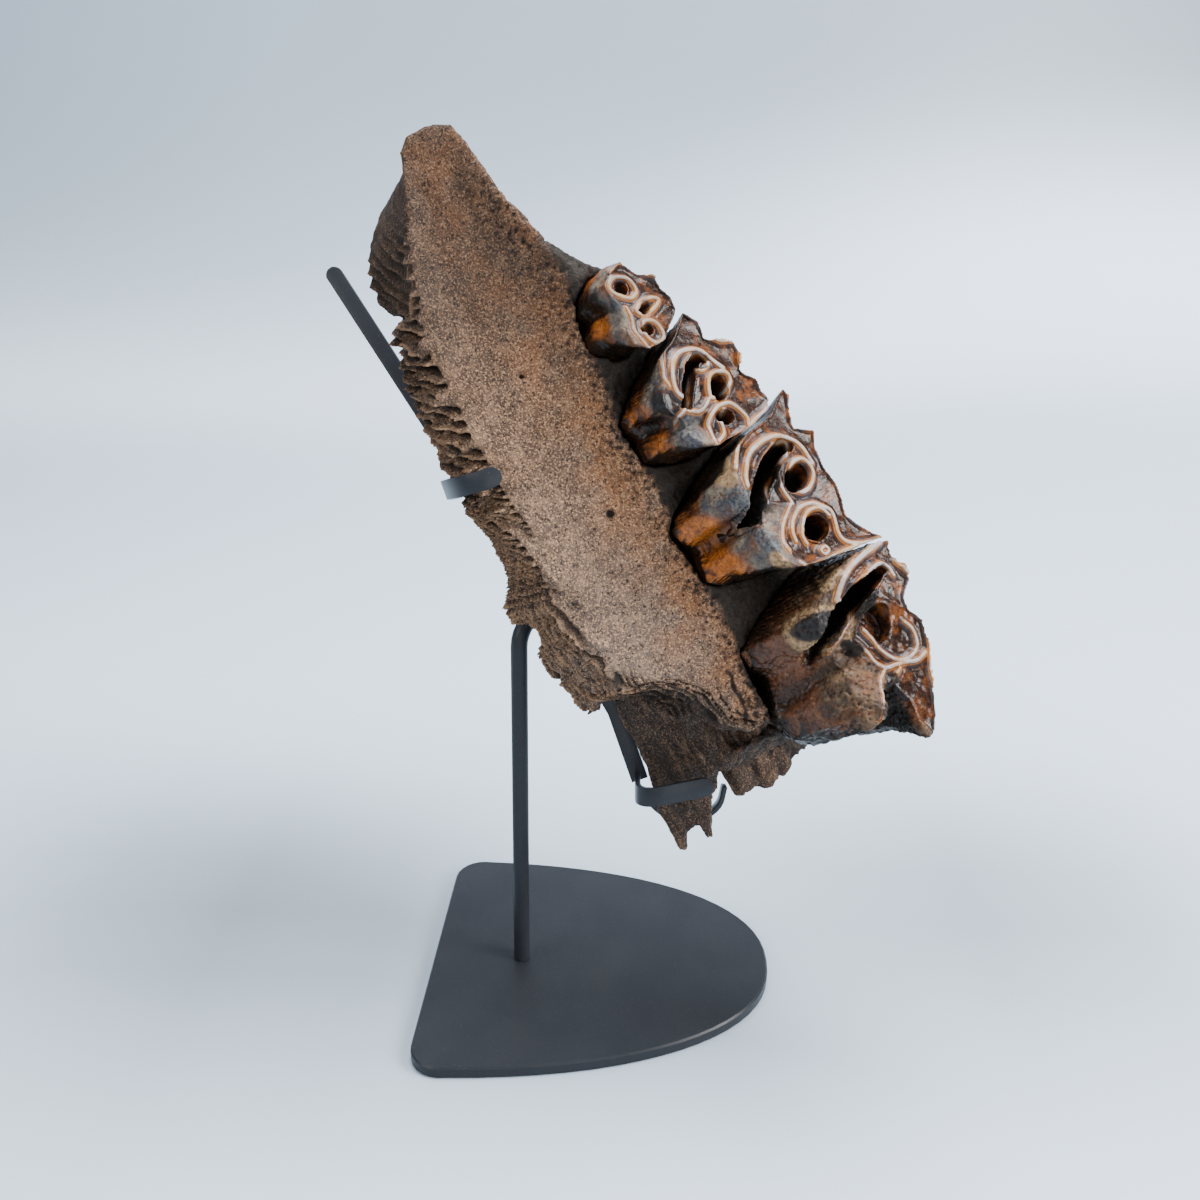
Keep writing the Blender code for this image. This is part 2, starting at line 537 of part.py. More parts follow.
def add_column(bm, start, end, radius_start, radius_end):
    """A tapered round column between two points."""
    first, last = millimetres(*start), millimetres(*end)
    way = last - first
    made = bmesh.ops.create_cone(bm, cap_ends=True, segments=10, radius1=radius_start * MM,
                                 radius2=radius_end * MM, depth=way.length)["verts"]
    place = Matrix.Translation((first + last) / 2) @ way.to_track_quat("Z", "Y").to_matrix().to_4x4()
    bmesh.ops.transform(bm, matrix=place, verts=made)


def add_sheet(bm, spine, thick):
    """A thin sheet between two edges: rows of (point on one edge, point on the other)."""
    rings = []
    for first, last in spine:
        p, q = millimetres(*first), millimetres(*last)
        across = (q - p).normalized()
        normal = Vector((1.0, 0.0, 0.0)).cross(across).normalized() * thick / 2 * MM
        rings.append([p - normal, q - normal * 0.6, q + normal * 0.6, p + normal])
    add_loft(bm, rings)


def suture_point(a, share, stand_out=0.0):
    """A point on the broken suture face, share 0 at the palate and 1 at its back edge."""
    rows = BONE_STATIONS
    i = max(k for k in range(len(rows) - 1) if rows[k][0] <= a)
    t = (a - rows[i][0]) / (rows[i + 1][0] - rows[i][0])
    left = rows[i][1] + (rows[i + 1][1] - rows[i][1]) * t
    thick = rows[i][4] + (rows[i + 1][4] - rows[i][4]) * t
    undercut = rows[i][7] + (rows[i + 1][7] - rows[i][7]) * t
    down = thick * share
    return (a, left + undercut * share - down * math.sin(ROW_TILT) - stand_out * math.cos(ROW_TILT),
            -down * math.cos(ROW_TILT) + stand_out * math.sin(ROW_TILT))


def add_suture_leaves(bm):
    """Thin leaves across the upper suture, and long stacked ledges along the lower suture."""
    out = (0.0, math.sin(ROW_TILT), math.cos(ROW_TILT))
    away = (0.0, -math.cos(ROW_TILT), math.sin(ROW_TILT))
    for k in range(15):
        a = -68.0 + 4.9 * k
        swing = 0.35 + 0.25 * math.sin(2.1 * k)
        along = (swing, out[1], out[2])
        length = 13.0 + 4.0 * math.sin(1.7 * k)
        add_block(bm, suture_point(a, 0.48, 0.6), (length, 6.6, 2.1), (along, away))
    for k in range(12):
        a = 10.0 + 3.6 * k
        share = 0.12 + 0.155 * (k % 6)
        along = (1.0, 0.30 * out[1], 0.30 * out[2])
        add_block(bm, suture_point(a, share, 0.8), (22.0 + 5.0 * math.sin(1.3 * k), 7.0, 2.1), (along, away), 0.7)


def add_back_end(bm):
    """The broken back of the jaw: the long spike, the fluted tuber and the flakes below the palate."""
    spike = [
        (57.0, -29.5, -4.0, -17.0), (70.0, -31.6, -5.0, -19.0), (82.0, -33.2, -5.5, -20.5),
        (92.0, -34.4, -7.5, -22.0), (100.0, -35.6, -12.0, -23.5), (107.0, -36.6, -17.0, -24.5),
    ]
    rings = []
    for a, left, right, front in spike:
        rings.append([millimetres(a, left, front - 1.5), millimetres(a, (left + right) / 2, front + 0.8),
                      millimetres(a, right, front - 2.5), millimetres(a, right - 1.0, front - 9.0),
                      millimetres(a, left + 1.0, front - 8.0)])
    add_loft(bm, rings)
    add_block(bm, (111.0, -34.4, -28.0), (16.0, 7.5, 6.0), ((1.0, -0.16, 0.0), (0.0, 1.0, 0.0)), 0.35)
    add_block(bm, (112.0, -24.6, -28.0), (17.0, 6.0, 6.0), ((1.0, -0.30, 0.0), (0.0, 1.0, 0.0)), 0.45)
    add_block(bm, (108.0, -29.5, -28.5), (12.0, 7.0, 5.0), ((1.0, -0.22, 0.0), (0.0, 1.0, 0.0)), 0.6)
    add_block(bm, (67.0, -17.0, -8.0), (22.0, 9.0, 3.0), ((1.0, 0.35, -0.1), (0.0, 1.0, 0.0)), 0.6)
    add_block(bm, (74.0, -11.0, -9.0), (22.0, 6.0, 3.0), ((1.0, 0.42, -0.1), (0.0, 1.0, 0.0)), 0.5)
    for k in range(4):
        add_block(bm, (86.0 + 1.2 * k, -15.0 + 3.4 * k, -17.0 - 1.5 * k), (26.0, 2.2, 9.0),
                  ((1.0, -0.15, -0.15), (0.0, 1.0, 0.25)), 0.6)
    bottoms = [117.0, 117.6, 120.2, 118.6, 119.0, 117.4, 115.6, 115.4, 114.6]
    for k, bottom in enumerate(bottoms):
        b = -10.6 + 4.0 * k
        c = -43.0 - 1.2 * k
        add_column(bm, (84.0, b + 1.0, c + 2.0), (bottom, b, c), 3.8, 2.2)
    for k in range(4):
        add_block(bm, (97.0 + 2.6 * k, 7.0 - 0.8 * k, -19.0 - 6.0 * k), (6.0, 34.0 - 2.0 * k, 3.2),
                  ((0.35, 0.0, -1.0), (0.0, 1.0, 0.1)))


def add_nasal_side(bm):
    """The nasal crest behind the suture, the broken cheek wall and the stub of the cheek bone."""
    for path in (NASAL_CREST, NASAL_RIDGE):
        add_sheet(bm, [((a, foot_b, foot_c), (a, tip_b, tip_c)) for a, foot_b, foot_c, tip_b, tip_c in path],
                  CREST_THICK)
    wall = [(-62.0, 20.0, -27.0, 5.0), (-48.0, 25.0, -40.0, 9.0), (-30.0, 23.0, -48.0, 13.0),
            (-12.0, 24.0, -52.0, 10.0), (6.0, 26.0, -54.0, 14.0), (24.0, 26.0, -56.0, 12.0),
            (40.0, 26.0, -56.0, 15.0), (58.0, 26.0, -54.0, 10.0), (72.0, 24.0, -52.0, 6.0)]
    spine = []
    for a, b, c, height in wall:
        foot = Vector((a, b, c + 6.0))
        tip = foot - Vector((0.0, math.sin(ROW_TILT), math.cos(ROW_TILT))) * (height + 6.0)
        spine.append((tuple(foot), tuple(tip)))
    add_sheet(bm, spine, 9.0)
    add_block(bm, (62.0, 43.0, -44.0), (30.0, 20.0, 15.0), ((1.0, 0.12, 0.0), (0.0, 1.0, -0.55)), 0.75)
    add_block(bm, (60.0, 52.0, -51.0), (20.0, 12.0, 10.0), ((1.0, 0.2, 0.0), (0.0, 1.0, -0.6)), 0.7)


def rough_texture(name, size, depth):
    texture = bpy.data.textures.new(name, "CLOUDS")
    texture.noise_scale = size
    texture.noise_depth = depth
    return texture


def make_maxilla(collection, jaw, spaces, finishes):
    """The bone in one piece: all its forms fused, roughened, thinned out and cut for teeth and stand."""
    bm = bmesh.new()
    add_loft(bm, [bone_section(*station) for station in BONE_STATIONS])
    add_suture_leaves(bm)
    add_back_end(bm)
    add_nasal_side(bm)
    bone = finish_mesh("maxilla", bm, collection, triangulated=True)
    bone.parent = jaw
    fuse = bone.modifiers.new("fuse", "REMESH")
    fuse.mode = "VOXEL"
    fuse.voxel_size = BONE_VOXEL
    fuse.use_smooth_shade = True
    soften = bone.modifiers.new("soften", "SMOOTH")
    soften.factor = 0.5
    soften.iterations = 1
    rough = bone.modifiers.new("roughen", "DISPLACE")
    rough.texture = rough_texture("bone_lumps", 7.0 * MM, 2)
    rough.strength = 1.6 * MM
    rough.mid_level = 0.5
    thin = bone.modifiers.new("thin_out", "DECIMATE")
    thin.ratio = BONE_TRIANGLE_SHARE
    for space in spaces:
        cut(bone, space)
    dress(bone, finishes["fossil_bone"], 60.0)


def main():
    clear_scene()
    finishes = make_finishes()
    parts = new_collection("fossil woolly rhino maxilla")
    cutters = new_collection("cutters")
    jaw = add_frame("jaw_frame", jaw_matrix(), None, parts)
    row = add_frame("row_frame", row_matrix(), jaw, parts)
    make_base_plate(parts, finishes)
    make_post(parts, finishes)
    spaces = make_stand_strips(parts, cutters, jaw, finishes)
    spaces += [make_tooth(name, parts, cutters, row, finishes) for name in TEETH]
    make_maxilla(parts, jaw, spaces, finishes)
    bpy.context.view_layer.update()


main()
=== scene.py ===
"""Looks of the fossil left upper jaw of a woolly rhinoceros and its bent steel display stand."""
import logging
import math
from collections.abc import Callable, Sequence
from dataclasses import dataclass, field
from enum import Enum

import bmesh
import bpy
import numpy as np
from mathutils import Matrix, Vector


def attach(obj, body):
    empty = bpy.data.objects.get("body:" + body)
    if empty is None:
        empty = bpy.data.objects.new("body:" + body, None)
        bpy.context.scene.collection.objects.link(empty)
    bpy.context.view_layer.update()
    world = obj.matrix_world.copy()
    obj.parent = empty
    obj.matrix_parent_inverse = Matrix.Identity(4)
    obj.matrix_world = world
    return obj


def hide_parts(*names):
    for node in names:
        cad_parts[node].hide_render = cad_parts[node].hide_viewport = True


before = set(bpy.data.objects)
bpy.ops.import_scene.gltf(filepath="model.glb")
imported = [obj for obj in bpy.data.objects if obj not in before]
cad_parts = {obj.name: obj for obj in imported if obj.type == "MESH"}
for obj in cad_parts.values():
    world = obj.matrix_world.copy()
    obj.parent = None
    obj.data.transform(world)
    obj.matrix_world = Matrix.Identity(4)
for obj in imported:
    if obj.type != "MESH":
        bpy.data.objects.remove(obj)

LOG = logging.getLogger("jaw_scene")
MM = 0.001
Colour = tuple[float, float, float]
Point2 = tuple[float, float]
Point3 = tuple[float, float, float]
SUTURE_LEAN = math.radians(38.0)
FRONT = np.array((0.038, -0.933, 0.359))
FAR = 1e9
WHOLE_WORD = np.uint64(0xFFFFFFFF)


class Region(Enum):
    """Parts of a tooth that take a finish of their own."""

    WORN = "worn"
    RIDGE = "ridge"
    NECK = "neck"
    # Painted shade in pits, grooves and deep notches.
    DEEP = "deep"
    FACET = "facet"
    CREAM = "cream"
    GREY = "grey"


@dataclass(frozen=True)
class LocalFrame:
    """A local frame in millimetres: an origin in the world and three unit axes as rows."""

    origin: np.ndarray
    axes: np.ndarray

    def to_local(self, points: np.ndarray) -> np.ndarray:
        """World points in millimetres turned into this frame."""
        return (points - self.origin) @ self.axes.T

    def way_to_world(self, ways: np.ndarray) -> np.ndarray:
        """Directions in this frame turned into the world."""
        return ways @ self.axes


def jaw_frame() -> LocalFrame:
    """Builds the jaw's frame: a along the jaw to the back, b towards the teeth, c out of the palate.

    Returns:
        The frame, which carries the whole fossil.
    """
    lean, turn, roll = math.radians(15.0), math.radians(2.3), math.radians(-60.0)
    out = Vector((math.sin(turn) * math.cos(lean), -math.cos(turn) * math.cos(lean), math.sin(lean)))
    right = Vector((math.cos(turn), math.sin(turn), 0.0))
    along = math.cos(roll) * right + math.sin(roll) * out.cross(right)
    return LocalFrame(np.array((30.0, -24.0, 196.0)), np.array((along, out.cross(along), out)))


def row_frame(jaw: LocalFrame) -> LocalFrame:
    """Builds the tooth row's frame: u along the row, v to the cheek, w out of the chewing surface.

    Args:
        jaw: the jaw's frame.

    Returns:
        The frame, with its origin in the plane of the chewing surfaces.
    """
    tilt, slope = SUTURE_LEAN, math.atan(0.115)
    upright = Vector((0.0, math.sin(tilt), math.cos(tilt)))
    along = Vector((math.cos(slope), 0.0, 0.0)) + upright * math.sin(slope)
    out = upright * math.cos(slope) - Vector((math.sin(slope), 0.0, 0.0))
    rows = np.array((along, out.cross(along), out)) @ jaw.axes
    return LocalFrame(jaw.origin + (np.array(upright) * 33.3) @ jaw.axes, rows)


JAW = jaw_frame()
ROW = row_frame(JAW)


def smooth_step(low: float, high: float, values: np.ndarray) -> np.ndarray:
    """Eases values from 0 at low to 1 at high."""
    share = np.clip((values - low) / (high - low), 0.0, 1.0)
    return share * share * (3.0 - 2.0 * share)


def cell_hash(cells: np.ndarray, seed: int) -> np.ndarray:
    """One fixed number from 0 to 1 for each whole-numbered cell.

    Args:
        cells: rows of three whole numbers.
        seed: picks the pattern.

    Returns:
        One number for each cell.
    """
    x, y, z = (cells[:, axis].astype(np.uint64) for axis in range(3))
    mixed = (x * np.uint64(73856093)) ^ (y * np.uint64(19349663)) ^ (z * np.uint64(83492791))
    mixed = (mixed + np.uint64(seed * 2654435761)) & WHOLE_WORD
    mixed = ((mixed ^ (mixed >> np.uint64(15))) * np.uint64(2246822519)) & WHOLE_WORD
    mixed = ((mixed ^ (mixed >> np.uint64(13))) * np.uint64(3266489917)) & WHOLE_WORD
    return (mixed ^ (mixed >> np.uint64(16))).astype(np.float64) / float(WHOLE_WORD)


def soft_noise(points: np.ndarray, size: float, seed: int = 1, octaves: int = 1) -> np.ndarray:
    """Smooth random relief.

    Args:
        points: places in millimetres.
        size: width of the largest lumps in millimetres.
        seed: picks the pattern.
        octaves: how many finer layers are added, each half as wide and half as strong.

    Returns:
        One value from about -1 to 1 for each point.
    """
    total = np.zeros(len(points))
    strength = 1.0
    for octave in range(octaves):
        places = points / size * 2**octave + 1000.0
        cells = np.floor(places).astype(np.int64)
        part = places - cells
        ease = part * part * (3.0 - 2.0 * part)
        for corner in range(8):
            step = np.array([(corner >> axis) & 1 for axis in range(3)])
            weight = np.prod(np.where(step, ease, 1.0 - ease), axis=1)
            total += strength * weight * (2.0 * cell_hash(cells + step, seed + octave) - 1.0)
        strength *= 0.5
    return total


def pore_pattern(points: np.ndarray, size: float, seed: int) -> np.ndarray:
    """Distance to the nearest of many scattered pores, in shares of their spacing.

    Args:
        points: places in millimetres.
        size: spacing of the pores in millimetres.
        seed: picks the pattern.

    Returns:
        0 at the middle of a pore, about 1 far from any.
    """
    places = points / size + 1000.0
    cells = np.floor(places).astype(np.int64)
    nearest = np.full(len(points), FAR)
    for corner in range(27):
        step = np.array([corner % 3 - 1, corner // 3 % 3 - 1, corner // 9 - 1])
        around = cells + step
        middle = around + np.stack([cell_hash(around, seed + axis) for axis in range(3)], axis=1)
        nearest = np.minimum(nearest, np.linalg.norm(places - middle, axis=1))
    return nearest


def leaf_profile(phase: np.ndarray, sharpness: float, rise: float = 0.78) -> np.ndarray:
    """The height of a row of leaves that rise slowly and break off steeply.

    Args:
        phase: place along the row, one leaf to each whole number.
        sharpness: power of the rise.
        rise: share of a leaf before its edge.

    Returns:
        0 to 1 for each place.
    """
    part = phase - np.floor(phase)
    return np.where(part < rise, (part / rise) ** sharpness, (1.0 - part) / (1.0 - rise))


def distance_to_path(points: np.ndarray, path: Sequence[Point2]) -> np.ndarray:
    """Distance in the plane from each point to a bent line.

    Args:
        points: rows of two numbers.
        path: the line's corners.

    Returns:
        One distance for each point.
    """
    nearest = np.full(len(points), FAR)
    for start, end in zip(path, path[1:]):
        first, way = np.array(start), np.array(end) - np.array(start)
        along = np.clip(((points - first) @ way) / max(way @ way, 1e-9), 0.0, 1.0)
        nearest = np.minimum(nearest, np.linalg.norm(points - first - along[:, None] * way, axis=1))
    return nearest


def inside_outline(points: np.ndarray, outline: Sequence[Point2]) -> np.ndarray:
    """Whether each point of the plane is inside a closed outline.

    Args:
        points: rows of two numbers.
        outline: its corners.

    Returns:
        True for each point inside.
    """
    inside = np.zeros(len(points), dtype=bool)
    x, y = points[:, 0], points[:, 1]
    for (x1, y1), (x2, y2) in zip(outline, [*outline[1:], outline[0]]):
        if y1 == y2:
            continue
        crosses = (y1 > y) != (y2 > y)
        inside ^= crosses & (x < (x2 - x1) * (y - y1) / (y2 - y1) + x1)
    return inside


def curved(path: Sequence[Point2], steps: int = 5) -> list[Point2]:
    """A smooth line through the corners of a bent one.

    Args:
        path: the corners.
        steps: pieces between two corners.

    Returns:
        The finer line.
    """
    corners = [np.array(p, dtype=float) for p in path]
    closed = bool(np.allclose(corners[0], corners[-1]))
    before = corners[-2] if closed else 2 * corners[0] - corners[1]
    after = corners[1] if closed else 2 * corners[-1] - corners[-2]
    ends = [before, *corners, after]
    finer: list[Point2] = []
    for p, q, r, s in zip(ends, ends[1:], ends[2:], ends[3:]):
        for k in range(steps):
            t = k / steps
            place = 0.5 * (2 * q + (r - p) * t + (2 * p - 5 * q + 4 * r - s) * t * t
                           + (3 * q - p - 3 * r + s) * t**3)
            finer.append((float(place[0]), float(place[1])))
    finer.append((float(corners[-1][0]), float(corners[-1][1])))
    return finer


class Sculpt:
    """A fine copy of a solid whose points can be moved and painted."""

    def __init__(self, node: str, name: str, voxel_mm: float, smoothing: int) -> None:
        """Copies the solid, rebuilds it in small even faces and softens its facets.

        Args:
            node: name of the solid.
            name: name of the new piece.
            voxel_mm: size of the faces.
            smoothing: how often the points are averaged.
        """
        form = bmesh.new()
        form.from_mesh(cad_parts[node].data)
        bmesh.ops.remove_doubles(form, verts=form.verts[:], dist=1e-6)
        mesh = bpy.data.meshes.new(name)
        form.to_mesh(mesh)
        form.free()
        self.node = node
        self.obj = bpy.data.objects.new(name, mesh)
        bpy.context.scene.collection.objects.link(self.obj)
        remesh = self.obj.modifiers.new("even_faces", "REMESH")
        remesh.mode = "VOXEL"
        remesh.voxel_size = voxel_mm * MM
        soften = self.obj.modifiers.new("soften", "SMOOTH")
        soften.factor = 0.5
        soften.iterations = smoothing
        self.apply_modifiers()
        self.drop_crumbs()

    def apply_modifiers(self) -> None:
        """Makes the shown shape the stored one."""
        graph = bpy.context.evaluated_depsgraph_get()
        made = bpy.data.meshes.new_from_object(self.obj.evaluated_get(graph))
        self.obj.modifiers.clear()
        old = self.obj.data
        self.obj.data = made
        made.name = self.obj.name
        bpy.data.meshes.remove(old)

    def drop_crumbs(self) -> None:
        """Removes the small loose bits that the rebuilding leaves beside the body."""
        form = bmesh.new()
        form.from_mesh(self.obj.data)
        waiting = set(form.verts)
        bodies = []
        while waiting:
            body = [waiting.pop()]
            for vert in body:
                near = {edge.other_vert(vert) for edge in vert.link_edges} & waiting
                waiting -= near
                body.extend(near)
            bodies.append(body)
        bodies.sort(key=len, reverse=True)
        for body in bodies[1:]:
            bmesh.ops.delete(form, geom=body, context="VERTS")
        form.to_mesh(self.obj.data)
        form.free()

    def points(self) -> np.ndarray:
        """The points in world millimetres.

        Returns:
            Rows of x, y and z.
        """
        flat = np.empty(len(self.obj.data.vertices) * 3)
        self.obj.data.vertices.foreach_get("co", flat)
        return flat.reshape(-1, 3) / MM

    def normals(self) -> np.ndarray:
        """The outward direction at each point.

        Returns:
            One unit row for each point.
        """
        flat = np.empty(len(self.obj.data.vertices) * 3)
        self.obj.data.vertex_normals.foreach_get("vector", flat)
        return flat.reshape(-1, 3)

    def move(self, shift_mm: np.ndarray) -> None:
        """Moves each point by its own shift in world millimetres."""
        self.obj.data.vertices.foreach_set("co", ((self.points() + shift_mm) * MM).ravel())
        self.obj.data.update()

    def paint(self, name: str, values: np.ndarray) -> None:
        """Stores one number at each point under a name that the finish reads."""
        layer = self.obj.data.attributes.new(name, "FLOAT", "POINT")
        layer.data.foreach_set("value", values.astype(np.float32))

    def thin(self, most: int) -> None:
        """Merges the flattest faces until the piece has no more triangles than wanted.

        Args:
            most: how many triangles may stay.
        """
        self.obj.data.calc_loop_triangles()
        count = len(self.obj.data.loop_triangles)
        if count > most:
            collapse = self.obj.modifiers.new("thin", "DECIMATE")
            collapse.ratio = most / count
            self.apply_modifiers()

    def refine(self, chosen: Callable[[np.ndarray], np.ndarray]) -> None:
        """Splits the faces of a chosen region in four.

        Args:
            chosen: says for world points in millimetres whether they are in the region.
        """
        wanted = chosen(self.points())
        form = bmesh.new()
        form.from_mesh(self.obj.data)
        form.verts.ensure_lookup_table()
        edges = [e for e in form.edges if wanted[e.verts[0].index] and wanted[e.verts[1].index]]
        bmesh.ops.subdivide_edges(form, edges=edges, cuts=1, use_grid_fill=True, smooth=0.4)
        bmesh.ops.triangulate(form, faces=[f for f in form.faces if len(f.verts) > 4])
        form.to_mesh(self.obj.data)
        form.free()

    def finish(self, material: bpy.types.Material, slot: str) -> bpy.types.Object:
        """Dresses the piece and lets it stand for its solid.

        Args:
            material: the finish.
            slot: not used.

        Returns:
            The piece.
        """
        self.obj.data.materials.clear()
        self.obj.data.materials.append(material)
        self.obj.data.shade_smooth()
        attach(self.obj, "root")
        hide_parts(self.node)
        LOG.info("%s: %d faces", self.obj.name, len(self.obj.data.polygons))
        return self.obj


class NodeSheet:
    """Lays out and joins the nodes of one node tree."""

    def __init__(self, tree: bpy.types.NodeTree) -> None:
        """Keeps the tree to draw on."""
        self.tree = tree

    def add(self, kind: str, **settings: object) -> bpy.types.Node:
        """Adds a node and sets its properties.

        Args:
            kind: the node's type.
            settings: property names and values.

        Returns:
            The node.
        """
        node = self.tree.nodes.new(kind)
        for name, value in settings.items():
            setattr(node, name, value)
        return node

    def join(self, source: object, target: bpy.types.NodeSocket) -> None:
        """Joins a socket to another, or sets the other's value.

        Args:
            source: a socket, a colour or a number.
            target: the input that takes it.
        """
        if isinstance(source, bpy.types.NodeSocket):
            self.tree.links.new(source, target)
        elif isinstance(source, tuple) and len(source) == 3 and target.type == "RGBA":
            target.default_value = (*source, 1.0)
        else:
            target.default_value = source

    def mix(self, share: object, first: object, second: object, blend: str = "MIX") -> bpy.types.NodeSocket:
        """Mixes two colours by a share.

        Args:
            share: 0 gives the first, 1 the second.
            first: a colour or a socket.
            second: a colour or a socket.
            blend: the way of mixing.

        Returns:
            The mixed colour.
        """
        node = self.add("ShaderNodeMix", data_type="RGBA", blend_type=blend, clamp_factor=True)
        self.join(share, node.inputs[0])
        self.join(first, node.inputs[6])
        self.join(second, node.inputs[7])
        return node.outputs[2]

    def calc(self, operation: str, first: object, second: object = 0.0) -> bpy.types.NodeSocket:
        """Works out one number from two.

        Args:
            operation: name of the sum.
            first: a number or a socket.
            second: a number or a socket.

        Returns:
            The result.
        """
        node = self.add("ShaderNodeMath", operation=operation)
        self.join(first, node.inputs[0])
        self.join(second, node.inputs[1])
        return node.outputs[0]

    def times(self, first: object, second: object) -> bpy.types.NodeSocket:
        """Multiplies two numbers."""
        return self.calc("MULTIPLY", first, second)

    def spread(self, value: object, low: float, high: float, to_low: float = 0.0,
               to_high: float = 1.0) -> bpy.types.NodeSocket:
        """Maps a number from one range to another and keeps it there.

        Args:
            value: a socket.
            low: start of its range.
            high: end of its range.
            to_low: result at the start.
            to_high: result at the end.

        Returns:
            The result.
        """
        node = self.add("ShaderNodeMapRange", clamp=True)
        for place, number in enumerate((value, low, high, to_low, to_high)):
            self.join(number, node.inputs[place])
        return node.outputs[0]

    def noise(self, vector: object, scale: float, detail: float = 2.0,
              rough: float = 0.5) -> bpy.types.NodeSocket:
        """A cloudy pattern from 0 to 1.

        Args:
            vector: the coordinates.
            scale: clouds in a metre.
            detail: how many finer layers.
            rough: strength of the finer layers.

        Returns:
            The pattern.
        """
        node = self.add("ShaderNodeTexNoise")
        self.join(vector, node.inputs["Vector"])
        node.inputs["Scale"].default_value = scale
        node.inputs["Detail"].default_value = detail
        node.inputs["Roughness"].default_value = rough
        return node.outputs["Fac"]

    def grains(self, vector: object, scale: float) -> bpy.types.NodeSocket:
        """A pattern of small cells, 0 at their middles.

        Args:
            vector: the coordinates.
            scale: cells in a metre.

        Returns:
            The pattern.
        """
        node = self.add("ShaderNodeTexVoronoi")
        self.join(vector, node.inputs["Vector"])
        node.inputs["Scale"].default_value = scale
        return node.outputs["Distance"]

    def cracks(self, vector: object, scale: float) -> bpy.types.NodeSocket:
        """Thin broken lines, 1 in the line.

        Args:
            vector: the coordinates.
            scale: lines in a metre.

        Returns:
            The pattern.
        """
        node = self.add("ShaderNodeTexVoronoi", feature="DISTANCE_TO_EDGE")
        bent = self.add("ShaderNodeVectorMath", operation="ADD")
        wave = self.add("ShaderNodeTexNoise")
        self.join(vector, wave.inputs["Vector"])
        wave.inputs["Scale"].default_value = scale * 2.0
        shift = self.add("ShaderNodeVectorMath", operation="SCALE")
        self.join(wave.outputs["Color"], shift.inputs[0])
        shift.inputs["Scale"].default_value = 0.5 / scale
        self.join(vector, bent.inputs[0])
        self.join(shift.outputs[0], bent.inputs[1])
        self.join(bent.outputs[0], node.inputs["Vector"])
        node.inputs["Scale"].default_value = scale
        line = self.spread(node.outputs["Distance"], 0.028, 0.010)
        return self.times(line, self.spread(self.noise(vector, scale * 0.6), 0.48, 0.56))

    def painted(self, name: str) -> bpy.types.NodeSocket:
        """The number that a sculpt painted under this name."""
        return self.add("ShaderNodeAttribute", attribute_name=name).outputs["Fac"]

    def place(self) -> bpy.types.NodeSocket:
        """Object coordinates."""
        return self.add("ShaderNodeTexCoord").outputs["Object"]

    def bump(self, height: object, depth_mm: float, strength: float = 1.0,
             under: object = None) -> bpy.types.NodeSocket:
        """Turns a height into a bent normal.

        Args:
            height: a socket.
            depth_mm: height of 1 in millimetres.
            strength: share of the bend.
            under: a normal that this one is added to.

        Returns:
            The normal.
        """
        node = self.add("ShaderNodeBump")
        node.inputs["Strength"].default_value = strength
        node.inputs["Distance"].default_value = depth_mm * MM
        self.join(height, node.inputs["Height"])
        if under is not None:
            self.join(under, node.inputs["Normal"])
        return node.outputs[0]


def make_group(name: str, inputs: Sequence[tuple[str, str, object]], outputs: Sequence[tuple[str, str]],
               draw: Callable[[NodeSheet, dict, dict], None]) -> bpy.types.NodeTree:
    """Builds a shader node group with named sockets.

    Args:
        name: the group's name.
        inputs: name, socket type and start value of each input.
        outputs: name and socket type of each output.
        draw: fills the group, given its sheet, its input sockets and its output sockets.

    Returns:
        The group.
    """
    tree = bpy.data.node_groups.new(name, "ShaderNodeTree")
    for label, kind, start in inputs:
        socket = tree.interface.new_socket(name=label, in_out="INPUT", socket_type=kind)
        if start is not None:
            socket.default_value = start
    for label, kind in outputs:
        tree.interface.new_socket(name=label, in_out="OUTPUT", socket_type=kind)
    sheet = NodeSheet(tree)
    entry, leave = sheet.add("NodeGroupInput"), sheet.add("NodeGroupOutput")
    draw(sheet, {s.name: s for s in entry.outputs if s.name}, {s.name: s for s in leave.inputs if s.name})
    return tree


def draw_grain(sheet: NodeSheet, given: dict, made: dict) -> None:
    """Fills the grain group: fine mineral grains, dark specks and their height.

    Args:
        sheet: the group's sheet.
        given: its input sockets.
        made: its output sockets.
    """
    scaled = sheet.add("ShaderNodeVectorMath", operation="SCALE")
    sheet.join(given["Vector"], scaled.inputs[0])
    sheet.join(given["Scale"], scaled.inputs["Scale"])
    fine = sheet.noise(scaled.outputs[0], 1.0, 3.0, 0.65)
    cells = sheet.grains(scaled.outputs[0], 1.1)
    specks = sheet.noise(scaled.outputs[0], 0.62, 2.0, 0.6)
    light = sheet.spread(fine, 0.51, 0.62)
    dark = sheet.spread(sheet.calc("ADD", specks, sheet.times(cells, 0.16)), 0.52, 0.42)
    height = sheet.calc("SUBTRACT", sheet.calc("ADD", fine, sheet.times(cells, -0.35)),
                       sheet.times(dark, 0.5))
    sheet.join(light, made["Light"])
    sheet.join(dark, made["Dark"])
    sheet.join(height, made["Height"])


GRAIN = make_group("mineral_grain",
                   (("Vector", "NodeSocketVector", None), ("Scale", "NodeSocketFloat", 1000.0)),
                   (("Light", "NodeSocketFloat"), ("Dark", "NodeSocketFloat"), ("Height", "NodeSocketFloat")),
                   draw_grain)


def grain_node(sheet: NodeSheet, vector: bpy.types.NodeSocket, per_metre: float) -> bpy.types.Node:
    """Places the grain group in a material.

    Args:
        sheet: the material's sheet.
        vector: the coordinates.
        per_metre: grains in a metre.

    Returns:
        The node, with Light, Dark and Height outputs.
    """
    node = sheet.add("ShaderNodeGroup", node_tree=GRAIN)
    sheet.join(vector, node.inputs["Vector"])
    node.inputs["Scale"].default_value = per_metre
    return node


